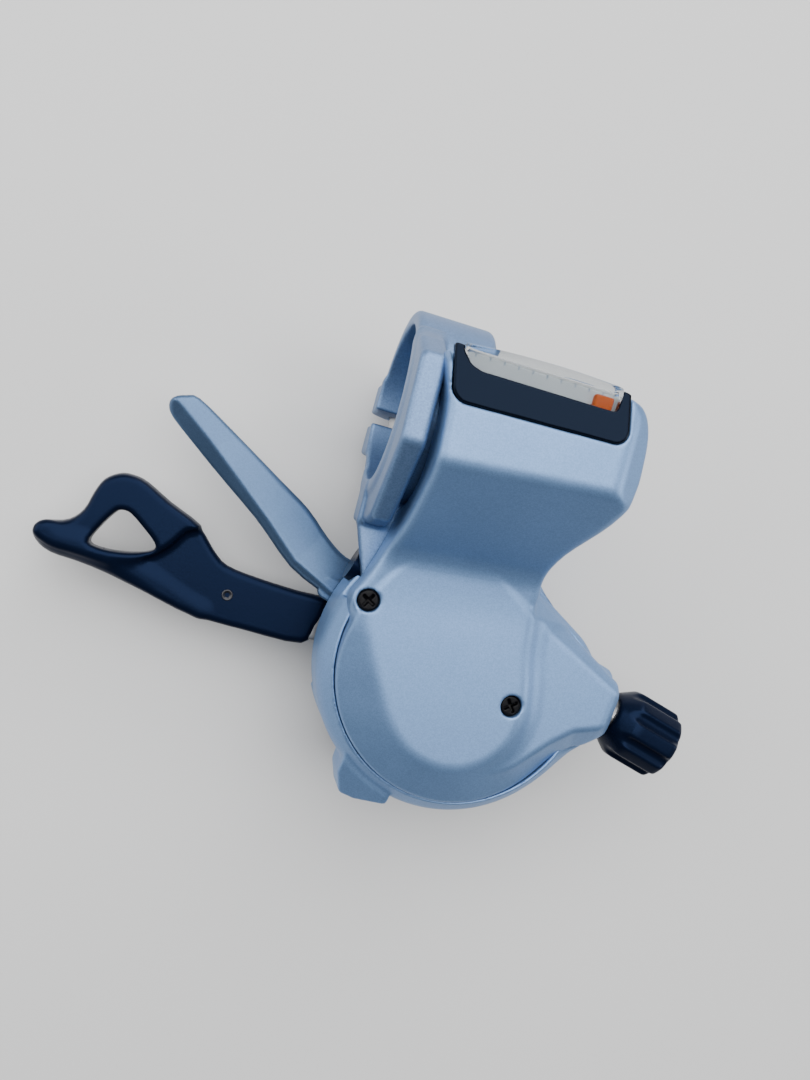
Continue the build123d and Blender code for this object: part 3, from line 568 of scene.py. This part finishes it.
@dataclass
class Housing:
    """Lower housing: round cup with a rounded shoulder, lower arm, adjuster boss and foot."""

    radius: float = 20.5
    bottom: float = -18.8

    def __post_init__(self) -> None:
        """Prepares the foot and lever window outlines."""
        self.foot = polygon(filleted([
            (1.6, -46, 0), (1.1, -52.4, 1.5), (2.2, -55.5, 0.9), (4.4, -55.9, 0.6), (9.0, -55.5, 0.5),
            (10, -46, 0),
        ]))
        self.sector = polygon(np.array([AXIS, *(polar(a, 60) for a in (113, 140, 180, 207))]))
        self.ear = polygon(filleted([(-7, -27.8, 1), (-7.5, -18, 1), (6, -10, 1), (6, -28.5, 1)]))

    def field(self, x: Array, y: Array, z: Array) -> Array:
        """Field of the finished cup."""
        r = spread(x, y, AXIS)
        hub = spread(x, y, HUB)
        cup = meet(hub - self.radius, (hub - self.radius) * 0.82 + (z + 1.3) * 0.57, 1.0)
        side = beyond_side(x, y)
        wide = side - 0.9 - 1.6 * np.clip((25 - x) / 3, 0, 1) - 0.31 * np.clip(-9 - z, 0, 8)
        cup = meet(meet(cup, z - 1.9, 0.4), wide, 0.8)
        cup = meet(cup, (side - 0.6) * 0.8 + (z - 0.85) * 0.6, 0.2)
        cup = meet(meet(cup, self.bottom - z, 0.6), (hub - 19.2) * 0.7 + (-17.4 - z) * 0.7, 1.0)
        arm = meet(slab(ARM(x, y), z, -9.8, 0.85, 1.0), arm_slope(x, y, z), 0.5)
        s, u, v = along_adjuster(x, y, z)
        boss = meet(np.hypot(u, v) - 5.9, np.abs(s + 9) - 8.9, 0.6)
        boss = meet(boss, z - 0.85, 0.3)
        f = join(cup, join(arm, boss, 0.8), 1.4)
        foot = slab(self.foot(x, y), z, -9, 0.0, 0.4)
        f = join(f, meet(foot, (hub - 21.2) * 0.5 + (z + 0.5) * 0.87, 0.3), 0.4)
        f = cut(f, meet(meet(meet(r - 19.2, -17.2 - z, 0.2), z + 2.4, 0.2), wide + 0.6, 0.2), 0.2)
        f = cut(f, meet(meet(r - 17.3, -17.2 - z, 0.2), side + 0.2, 0.2), 0.2)
        f = cut(f, meet(meet(hub - 18.2, -0.9 - z, 0.1), side + 0.3, 0.2), 0.4)
        f = cut(f, meet(self.ear(x, y), -1.7 - z, 0.1), 0.2)
        hole = meet(self.sector(x, y), meet(-16.9 - z, z + 9.6, 0.6), 0.8)
        f = cut(f, meet(hole, 17.5 - r, 0.2), 0.4)
        f = cut(f, meet(np.hypot(u, v) - 4.3, np.abs(s) - 9.5, 0.2), 0.4)
        f = cut(f, meet(np.hypot(u, v) - 3.0, np.abs(s + 8) - 12, 0.2), 0.2)
        return cut(f, r - 3.1, 0.2)

    def posts(self, x: Array, y: Array, z: Array) -> Array:
        """Field of the three posts, one with a flat against the straight wall."""
        low, high = (corner[2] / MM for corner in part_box("frame_posts"))
        f = np.full_like(x + y + z, 9.0)
        for angle in POST_ANGLES:
            r = spread(x, y, polar(angle, POST_ORBIT))
            bored = cut(slab(r - 2.0, z, low, high, 0.2), slab(r - 1.2, z, low - 1, low + 5, 0.1), 0.1)
            f = np.minimum(f, bored)
        return meet(f, beyond_side(x, y) - 0.35, 0.1)

    def build(self, palette: Palette) -> None:
        """Meshes the housing and registers it."""
        obj = surface("housing_shell", self.field, (-7.5, -56.5, -19), (38.5, -12.5, 2.2), Detail.SHELL.value)
        publish(obj, palette, "silver_paint", "housing", ["lower_housing"])
        obj = surface("standing_posts", self.posts, (-2, -48, -18.5), (32, -18, 0), Detail.POST.value)
        publish(obj, palette, "steel", "housing", ["frame_posts"])


@dataclass
class Bracket:
    """Die-cast clamp: split band, ears, cheek beside the display, root and mounting plate."""

    half: float = 5.5
    band: float = 13.2

    def __post_init__(self) -> None:
        """Prepares the cheek and root outlines."""
        self.cheek = polygon(filleted([
            (9.2, 9.4, 0), (7.6, 13, 2), (4.8, 17.7, 1.5), (-6.4, 17.9, 2.2), (-16.4, 8.0, 1.2), (-17.1, 5.0, 1.0),
            (-17.1, -6, 0), (-6, -6, 0), (0, 4, 0),
        ]))
        self.root = polygon(filleted([
            (5.5, -12, 0), (-5.5, -12, 0), (-5.6, -17.2, 0.8), (-2.6, -25.5, 0.8), (-3.2, -27.4, 0.6), (6, -30, 0),
            (18, -28, 0), (5.5, -20, 0),
        ]))

    def field(self, x: Array, y: Array, z: Array) -> Array:
        """Field of the finished bracket."""
        bar = np.hypot(y, z)
        f = meet(bar - self.band, np.abs(x) - self.half, 1.0)
        left = -5.45 - x - 0.02 * (y + 3)
        cheek = meet(meet(self.cheek(y, z), left, 1.0), x + 2.05, 1.0)
        f = join(f, cheek, 0.8)
        f = join(f, box(x, y, z, (-5.5, -17.1, -6.0), (5.5, -7, 0.6), 0.8), 1.0)
        ears = box(x, y, z, (-5.5, -6.7, -22.2), (5.5, 4.5, -10), 0.6)
        ears = meet(ears, (np.abs(x) - 5.5) * 0.7 + (-19.2 - z) * 0.7, 1.0)
        f = join(f, ears, 1.2)
        r = spread(x, y, AXIS)
        f = cut(f, meet(r - 21.3, z + 1.7, 0.2), 0.2)
        f = join(f, slab(r - 16.6, z, -1.4, 0.6, 0.2), 0.3)
        f = join(f, slab(self.root(x, y), z, -1.4, 0.6, 0.3), 0.5)
        f = cut(f, bar - BORE, 0.35)
        f = cut(f, box(x, y, z, (-7, -2.2, -24), (7, 0.0, -9), 0.2), 0.3)
        f = cut(f, np.hypot(x, z + 17.7) - 2.6, 0.2)
        return cut(f, r - AXLE_HOLE, 0.2)

    def build(self, palette: Palette) -> None:
        """Meshes the bracket and registers it."""
        obj = surface("bracket_casting", self.field, (-6, -51, -22.4), (31, 13.4, 18.2), Detail.MEDIUM.value)
        # the bracket finish carries painted shade: the cover silver made darker
        publish(obj, palette, "cast_silver", "housing", ["clamp_bracket"])


# ---------------------------------------------------------------- the levers


@dataclass
class MainLever:
    """Steel arm, thumb paddle with its hole and wall, and the dimpled rivet."""

    body: str = "main_lever_unit"
    arm_top: float = -14.0
    plate_top: float = -12.75
    under: float = -16.4

    def __post_init__(self) -> None:
        """Prepares the paddle outlines."""
        upper = [
            (-5.3, -30.0), (-9.9, -29.9), (-16.3, -29.5), (-21.1, -28.8), (-23.6, -27.1), (-26.7, -24.1),
            (-31.7, -21.9), (-35.6, -19.9), (-37.9, -19.4), (-39.7, -19.7), (-41.4, -21.0), (-42.3, -23.1),
            (-43.1, -26), (-44.8, -28), (-47.5, -29.2), (-48.6, -30.6),
        ]
        self.pad = polygon(loop([
            *upper, (-48.0, -32.2), (-45.5, -33.0), (-40.2, -33.6), (-32, -35.4), (-24, -37.4), (-16, -37.8),
            (-7.2, -37.7), (-5.6, -34.6), (-4.9, -32.1),
        ], 3))
        self.plate = polygon(loop([
            *upper[5:], (-46.5, -31.4), (-43.5, -31.6), (-40.2, -31.7), (-37.2, -31.6), (-33.9, -30.9),
            (-31.7, -29.6), (-29.9, -27.8), (-28.3, -25.4),
        ], 3))
        self.hole = polygon(loop([
            (-41.4, -30.3), (-40.6, -28.0), (-39.0, -25.3), (-38.0, -24.6), (-36.6, -24.8), (-34.2, -26.5),
            (-32.4, -28.0), (-32.1, -29.0), (-33.4, -29.8), (-36.0, -30.5), (-39.2, -30.8),
        ], 3))
        self.rim = strand(loop([
            (-47.9, -30.2), (-45.9, -31.2), (-43.2, -31.3), (-39.8, -31.7), (-36.6, -32.2), (-32.6, -33.3),
            (-28.4, -34.8), (-23.4, -36.2),
        ], 3, closed=False))

    def paddle(self, x: Array, y: Array, z: Array) -> Array:
        """Field of the moulded paddle."""
        arm = slab(self.pad(x, y), z, self.under, self.arm_top, 1.1)
        plate = slab(self.plate(x, y), z, self.under + 0.4, self.plate_top, 0.9)
        f = join(arm, plate, 1.2)
        drop = np.clip(-13.0 - z, 0, 9)
        wall = self.rim(x, y + 0.25 * drop) - 1.05 + 0.85 * np.clip((x + 35) / 10, 0, 1)
        foot = -20.8 + 4.8 * np.clip((x + 39) / 15, 0, 1)
        crown = -12.85 - 1.9 * np.clip((x + 38) / 9, 0, 1)
        wall = meet(wall, meet(z - crown, foot - z, 0.8), 1.2)
        f = join(f, wall, 2.2)
        return cut(f, meet(self.hole(x, y), np.abs(z + 15) - 6, 0.1), 0.9)

    def steel(self, x: Array, y: Array, z: Array) -> Array:
        """Field of the steel arm with its hub and pawl tail."""
        r = spread(x, y, AXIS)
        f = slab(r - 7.5, z, -15.4, -13.4, 0.3)
        arm = meet(np.abs(y + 34.0) - 2.8, np.abs(x + 1) - 15, 0.3)
        f = join(f, slab(arm, z, -15.4, -14.2, 0.3), 0.2)
        tail = strand(np.array([AXIS, polar(300, 14.5)]))(x, y) - 2.4
        f = join(f, slab(tail, z, -15.4, -13.4, 0.2), 0.3)
        return cut(f, r - AXLE_HOLE, 0.2)

    def rivet(self, x: Array, y: Array, z: Array) -> Array:
        """Field of the rivet with a dimple in its head."""
        r = spread(x, y, (-20.0, -33.1))
        f = meet(r - 0.85, np.abs(z + 15.1) - 1.3, 0.15)
        return cut(f, np.sqrt(r**2 + (z + 13.35) ** 2) - 0.75, 0.15)

    def build(self, palette: Palette) -> None:
        """Meshes the three pieces and registers them."""
        obj = surface("thumb_paddle", self.paddle, (-49.8, -39, -22), (-4.4, -19, -12.4), Detail.FINE.value)
        publish(obj, palette, "black_plastic", self.body, ["lever_pad"])
        obj = surface("steel_arm", self.steel, (-16.5, -50, -15.8), (25, -26, -13), Detail.MEDIUM.value)
        publish(obj, palette, "steel", self.body, ["main_lever"])
        obj = surface("rivet_head", self.rivet, (-21.5, -34.5, -16.8), (-18.5, -31.6, -13.4), Detail.RIVET.value)
        publish(obj, palette, "dark_metal", self.body, ["pad_rivet"])


@dataclass
class ReleaseLever:
    """Slim ridged release lever with its hub and pawl finger."""

    body: str = "release_unit"
    ridge_z: float = -10.05
    under: float = -12.2
    finger_angle: float = 68.0

    def __post_init__(self) -> None:
        """Prepares the blade and ridge outlines."""
        right = [
            (-35.3, -7.4), (-34.6, -6.5), (-33.2, -5.9), (-31.2, -5.8), (-25.5, -9.0), (-16.6, -14.3),
            (-11.6, -17.3), (-7.4, -20.9), (-4.2, -22.9), (1, -24.5),
        ]
        left = [
            (1, -31.5), (-3.7, -30.4), (-5.9, -29.3), (-12.1, -26.5), (-19.0, -20.8), (-27.2, -15.2),
            (-33.3, -10.7), (-35.0, -9.0),
        ]
        self.blade = polygon(loop([*right, *left], 3))
        self.low_side = polygon(np.array([
            (-37, -5.2), (-32.9, -7.9), (-28.2, -11.4), (-23.9, -14.9), (-16.9, -20.7), (-11.8, -25.3),
            (-4.8, -28.8), (6, -33), (60, -33), (60, 60), (-37, 60),
        ]))
        self.neck = polygon(filleted([
            (14, -29, 0), (-3.5, -26.8, 0), (-6.5, -26.4, 1), (-7.5, -29.4, 1), (-4.2, -30.4, 0), (12, -40, 0),
        ]))

    def field(self, x: Array, y: Array, z: Array) -> Array:
        """Field of the whole release lever."""
        d = self.low_side(x, y)
        top = meet((z - self.ridge_z - 0.2 * d) * 0.98, (z - self.ridge_z + 0.8 * d) * 0.78, 0.35)
        f = meet(meet(top, self.under - z, 0.3), self.blade(x, y), 0.8)
        r = spread(x, y, AXIS)
        inner = join(r - 7.5, self.neck(x, y), 0.3)
        finger = strand(np.array([AXIS, polar(self.finger_angle, 15.2)]))(x, y) - 1.6
        f = join(f, slab(join(inner, finger, 0.3), z, self.under, -10.4, 0.2), 0.3)
        tab = spread(x, y, polar(self.finger_angle, 15.9)) - 0.55
        f = join(f, slab(tab, z, self.under, -6.3, 0.2), 0.2)
        return cut(f, r - AXLE_HOLE, 0.2)

    def build(self, palette: Palette) -> None:
        """Meshes the lever and registers it."""
        obj = surface("release_blade", self.field, (-36.4, -42, -12.5), (23, -5, -6), Detail.FINE.value)
        # the lever's finish is the body silver darkened as painted shade
        publish(obj, palette, "silver_lever", self.body, ["release_lever"])


# ---------------------------------------------------------------- window and adjuster


@dataclass
class Window:
    """Black surround, clear domed strip and printed scale under it."""

    bulge: Plan
    ticks: int = 10
    pitch: float = 1.9

    def __post_init__(self) -> None:
        """Prepares the surround outline and the strip's side view."""
        self.plan = polygon(filleted([
            (-2.3, 6.9, 0.3), (-0.68, -0.25, 2.1), (22.45, 0.35, 1.6), (21.0, 6.9, 0.5),
        ]))
        self.lens = polygon(filleted([
            (3.0, 18.4, 0), (3.0, 19.5, 0), (4.4, 19.8, 1.5), (6.5, 20.15, 2.0), (7.8, 19.0, 1.3), (8.0, 15.8, 0.2),
            (6.7, 15.8, 0), (6.7, 17.6, 0.8), (5.9, 18.4, 0.4),
        ]))
        self.slot = polygon(filleted([
            (-1.6, 12, 0), (-0.9, 5.9, 1.0), (0.4, 4.5, 1.2), (1.9, 4.05, 1.5), (19.8, 4.05, 0.6), (20.3, 12, 0),
        ]))

    def mask(self, x: Array, y: Array, z: Array) -> Array:
        """Field of the black surround."""
        f = slab(self.plan(x, y), z, 18.2, 19.68, 0.25)
        f = meet(f, self.bulge(x, y) + 0.05, 0.2)
        return cut(f, slab(self.slot(x, y), z, 17, 21, 0.1), 0.15)

    def strip(self, x: Array, y: Array, z: Array) -> Array:
        """Field of the clear strip."""
        f = meet(self.lens(y, z), self.slot(x, y) + 0.06, 0.15)
        return meet(f, self.bulge(x, y) - 0.35, 0.5)

    def build(self, palette: Palette) -> None:
        """Meshes the window pieces and registers them."""
        obj = surface("window_surround", self.mask, (-2.6, -1, 18), (23, 7, 19.9), Detail.FINE.value)
        publish(obj, palette, "gloss_black", "housing", ["window_mask"])
        obj = surface("clear_strip", self.strip, (-0.6, 3, 15.4), (19.9, 8, 20.4), Detail.FINE.value)
        publish(obj, palette, "clear_lens", "housing", ["window_lens"])
        obj = surface("scale_strip", self.plate, (-1, 1, 16), (21, 7, 18), Detail.BLOCK.value)
        publish(obj, palette, "scale_white", "housing", ["indicator_scale"])
        obj = surface("pointer", self.pointer, (16, 3, 15), (20, 7, 19), Detail.FINE.value)
        publish(obj, palette, "orange", "needle", ["indicator_needle"])
        self.rule(palette)

    def plate(self, x: Array, y: Array, z: Array) -> Array:
        """Field of the pale scale."""
        return box(x, y, z, (-0.5, 1.2, 16.6), (20.4, 6.6, 17.4))

    def pointer(self, x: Array, y: Array, z: Array) -> Array:
        """Field of the pointer."""
        return box(x, y, z, (17.0, 3.9, 15.1), (19.5, 5.9, 18.35))

    def rule(self, palette: Palette) -> None:
        """Repeats the tick marks along the scale's far edge."""
        line = bpy.data.meshes.new("tick_line")
        places = [((1.0 + i * self.pitch) * MM, 6.26 * MM, 17.42 * MM) for i in range(self.ticks)]
        line.from_pydata(places, [], [])
        mark = bpy.data.meshes.new("tick_shape")
        w, h, t = 0.12 * MM, 0.28 * MM, 0.03 * MM
        corners = [(a * w, b * h, c * t) for a in (-1, 1) for b in (-1, 1) for c in (-1, 1)]
        sides = [(0, 1, 3, 2), (4, 6, 7, 5), (0, 4, 5, 1), (2, 3, 7, 6), (0, 2, 6, 4), (1, 5, 7, 3)]
        mark.from_pydata(corners, [], sides)
        ticks = scatter("scale_ticks", line, mark, palette.get("tick_grey"), 0.0)
        palette.dress(ticks, "tick_grey")
        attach(ticks, "housing")


def scatter(
    name: str, spots: bpy.types.Mesh, shape: bpy.types.Mesh, material: bpy.types.Material, turn: float
) -> bpy.types.Object:
    """Repeats a shape on points with Geometry Nodes and returns the plain result.

    Args:
        name: name of the finished object.
        spots: mesh whose vertices are the places.
        shape: mesh to repeat.
        material: finish set on every copy.
        turn: largest turn about Z, in radians, drawn with a fixed seed.

    Returns:
        An object with an ordinary mesh and no modifier.
    """
    base = bpy.data.objects.new(name + "_spots", spots)
    model = bpy.data.objects.new(name + "_shape", shape)
    for o in (base, model):
        bpy.context.scene.collection.objects.link(o)
    tree = bpy.data.node_groups.new(name + "_tree", "GeometryNodeTree")
    face = tree.interface
    face.new_socket("Geometry", in_out="OUTPUT", socket_type="NodeSocketGeometry")
    face.new_socket("Geometry", in_out="INPUT", socket_type="NodeSocketGeometry")
    ask = {
        "Shape": face.new_socket("Shape", in_out="INPUT", socket_type="NodeSocketObject"),
        "Turn": face.new_socket("Turn", in_out="INPUT", socket_type="NodeSocketFloat"),
        "Seed": face.new_socket("Seed", in_out="INPUT", socket_type="NodeSocketInt"),
        "Finish": face.new_socket("Finish", in_out="INPUT", socket_type="NodeSocketMaterial"),
    }
    new, link = tree.nodes.new, tree.links.new
    enter, leave = new("NodeGroupInput"), new("NodeGroupOutput")
    info, place = new("GeometryNodeObjectInfo"), new("GeometryNodeInstanceOnPoints")
    chance, pack = new("FunctionNodeRandomValue"), new("ShaderNodeCombineXYZ")
    real, paint = new("GeometryNodeRealizeInstances"), new("GeometryNodeSetMaterial")
    link(enter.outputs["Geometry"], place.inputs["Points"])
    link(enter.outputs["Shape"], info.inputs["Object"])
    link(info.outputs["Geometry"], place.inputs["Instance"])
    link(enter.outputs["Turn"], chance.inputs[3])
    link(enter.outputs["Seed"], chance.inputs["Seed"])
    link(chance.outputs[1], pack.inputs["Z"])
    link(pack.outputs["Vector"], place.inputs["Rotation"])
    link(place.outputs["Instances"], real.inputs["Geometry"])
    link(real.outputs["Geometry"], paint.inputs["Geometry"])
    link(enter.outputs["Finish"], paint.inputs["Material"])
    link(paint.outputs["Geometry"], leave.inputs["Geometry"])
    mod = base.modifiers.new("repeat", "NODES")
    mod.node_group = tree
    for key, value in (("Shape", model), ("Turn", turn), ("Seed", 7), ("Finish", material)):
        mod[ask[key].identifier] = value
    bpy.context.view_layer.update()
    mesh = bpy.data.meshes.new_from_object(base.evaluated_get(bpy.context.evaluated_depsgraph_get()))
    base.modifiers.clear()
    out = bpy.data.objects.new(name, mesh)
    bpy.context.scene.collection.objects.link(out)
    for o in (base, model):
        bpy.data.objects.remove(o)
    return out


@dataclass
class Adjuster:
    """Fluted knob of the cable adjuster and the two cover screws."""

    radius: float = 5.6
    start: float = 3.1
    end: float = 13.6
    flutes: int = 8
    seat: float = 5.5

    def knob(self, x: Array, y: Array, z: Array) -> Array:
        """Field of the fluted knob."""
        s, u, v = along_adjuster(x, y, z)
        r = np.hypot(u, v)
        f = slab(r - self.radius, s, self.start, self.end, 0.9)
        f = meet(f, (r - self.radius) * 0.83 + (self.start + 3.2 - s) * 0.55, 0.5)
        f = meet(f, (r - self.radius + 0.9) * 0.6 + (s - self.end) * 0.8, 0.5)
        step = 2 * math.pi / self.flutes
        a = np.mod(np.arctan2(v, u), step) - step / 2
        flute = np.hypot(r * np.cos(a) - self.radius - 0.15, r * np.sin(a)) - 1.0
        crest = np.mod(np.arctan2(v, u) + step / 2, step) - step / 2
        f = cut(meet(f, r * np.cos(crest) - self.radius + 0.2, 0.3), flute, 0.45)
        f = cut(f, meet(r - 4.3, self.end - 0.5 - s, 0.2), 0.3)
        return cut(f, r - 2.95, 0.2)

    def head(self, x: Array, y: Array, z: Array) -> Array:
        """Field of one cross-head screw with its top at height zero."""
        r = np.hypot(x, y)
        f = meet(r - 1.45, np.abs(z + 0.85) - 0.85, 0.35)
        f = join(f, meet(r - 0.95, np.abs(z + 3.6) - 3.2, 0.1), 0.1)
        deep = z + 1.0 - 0.35 * r
        along = box(x, y, z, (-1.05, -0.2, -2), (1.05, 0.2, 1), 0.15)
        across = box(x, y, z, (-0.2, -1.05, -2), (0.2, 1.05, 1), 0.15)
        cross = join(along, across, 0.15)
        return cut(f, meet(cross, -deep, 0.1), 0.1)

    def build(self, palette: Palette) -> None:
        """Meshes the knob, repeats the screw and registers both."""
        obj = surface("fluted_knob", self.knob, (38.5, -44.8, -10), (52, -29.5, 2), Detail.FINE.value)
        publish(obj, palette, "black_plastic", "knob", ["adjuster_knob"])
        model = surface("screw_model", self.head, (-1.9, -1.9, -7), (1.9, 1.9, 0.3), Detail.SCREW.value)
        spots = bpy.data.meshes.new("screw_spots")
        spots.from_pydata([(x * MM, y * MM, self.seat * MM) for x, y in SCREWS], [], [])
        screws = scatter("cross_screws", spots, model.data, palette.get("black_steel"), 1.4)
        bpy.data.objects.remove(model)
        screws.data.shade_smooth()
        publish(screws, palette, "black_steel", "housing", ["cover_screws"])


NODE_FINISH = {
    node: finish
    for finish, nodes in {
        "steel": (
            "clamp_bolt", "base_plate", "main_axle", "axle_nut", "axle_washer", "ratchet_wheel",
            "drive_pawl", "drive_pawl_pin", "hold_pawl", "hold_pawl_pin",
        ),
        "spring_steel": (
            "drum_spring", "release_spring", "main_spring", "drive_pawl_spring", "hold_pawl_spring",
        ),
        "pale_plastic": ("spacer_upper", "spacer_middle", "spacer_lower"),
        "dark_plastic": ("winding_drum", "indicator_base"),
        "black_steel": ("base_screws",),
        "black_plastic": ("cable_plug",),
        "dark_metal": ("adjuster_insert",),
        "aluminium": ("adjuster_barrel",),
    }.items()
    for node in nodes
}
SHAPED = {
    "upper_cover", "lower_housing", "frame_posts", "clamp_bracket", "lever_pad", "main_lever",
    "pad_rivet", "release_lever", "window_mask", "window_lens", "indicator_scale", "indicator_needle",
    "adjuster_knob", "cover_screws",
}


@dataclass
class Inner:
    """Finishes for the CAD pieces that stay visible, with softened edges."""

    bevel: float = 0.15
    sharp: float = 35.0

    def build(self, palette: Palette, frame: dict, shown: set[str]) -> None:
        """Dresses each remaining CAD node.

        Args:
            palette: the shared materials.
            shown: nodes that a shaped piece replaces.
        """
        for name, obj in frame["nodes"].items():
            if name in shown:
                continue
            finish = NODE_FINISH[name]
            palette.dress(obj, finish)
            mod = obj.modifiers.new("soft_edges", "BEVEL")
            mod.width = self.bevel * MM
            mod.segments = 2
            mod.limit_method = "ANGLE"
            mod.angle_limit = math.radians(self.sharp)
            LOG.info("%s dressed in %s", name, finish)


@dataclass
class Studio:
    """Pale floor, soft lights and the camera."""

    def build(self, palette: Palette) -> None:
        """Adds everything that isn't part of the object."""
        bpy.ops.mesh.primitive_plane_add(size=3.0, location=(0, 0, FLOOR_Z * MM))
        floor = bpy.context.object
        floor.name = "studio_floor"
        palette.dress(floor, "floor")
        self.light("overhead", (0.02, 0.26, 0.64), 0.85, 10.0)
        self.light("window", (0.10, 0.50, 0.22), 0.25, 1.2)
        self.light("side", (0.45, 0.02, 0.22), 0.20, 0.7)
        self.light("fill", (-0.42, 0.06, 0.24), 0.40, 1.8)
        world = bpy.data.worlds.new("studio_air")
        world.use_nodes = True
        air = world.node_tree.nodes["Background"]
        air.inputs["Color"].default_value = (0.92, 0.95, 1.0, 1)
        air.inputs["Strength"].default_value = 0.13
        bpy.context.scene.world = world
        self.camera()

    def camera(self) -> None:
        """Adds the camera with its measured place and view axes."""
        data = bpy.data.cameras.new("camera")
        data.sensor_fit = "VERTICAL"
        data.sensor_height = 36
        data.lens = 31.667
        data.clip_start = 0.01
        camera = bpy.data.objects.new("camera", data)
        bpy.context.scene.collection.objects.link(camera)
        right = (0.949751, 0.258819, 0.176026)
        down = (0.254485, -0.965926, 0.047166)
        ahead = (0.182236, 0, -0.983255)
        place = (-22.77, -18.08, 131.86)
        rows = [(right[i], -down[i], -ahead[i], place[i] * MM) for i in range(3)]
        camera.matrix_world = Matrix([*rows, (0, 0, 0, 1)])
        bpy.context.scene.camera = camera

    def light(self, name: str, place: tuple[float, float, float], size: float, power: float) -> None:
        """Adds one square area light aimed at the object."""
        data = bpy.data.lights.new(name, "AREA")
        data.size = size
        data.energy = power
        lamp = bpy.data.objects.new(name, data)
        bpy.context.scene.collection.objects.link(lamp)
        aim = Vector(place) - Vector((0, -0.02, 0))
        lamp.rotation_euler = aim.to_track_quat("Z", "Y").to_euler()
        lamp.location = place


def main() -> None:
    """Builds the scene in order."""
    logging.basicConfig(level=logging.INFO, format="%(name)s: %(message)s")
    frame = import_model()
    palette = Palette({})
    cover = Cover()
    levers = (MainLever(), ReleaseLever())
    for part in (cover, Housing(), Bracket(), *levers, Window(cover.neck), Adjuster()):
        part.build(palette)
    Inner().build(palette, frame, SHAPED)
    Studio().build(palette)


if __name__ == "__main__":
    main()
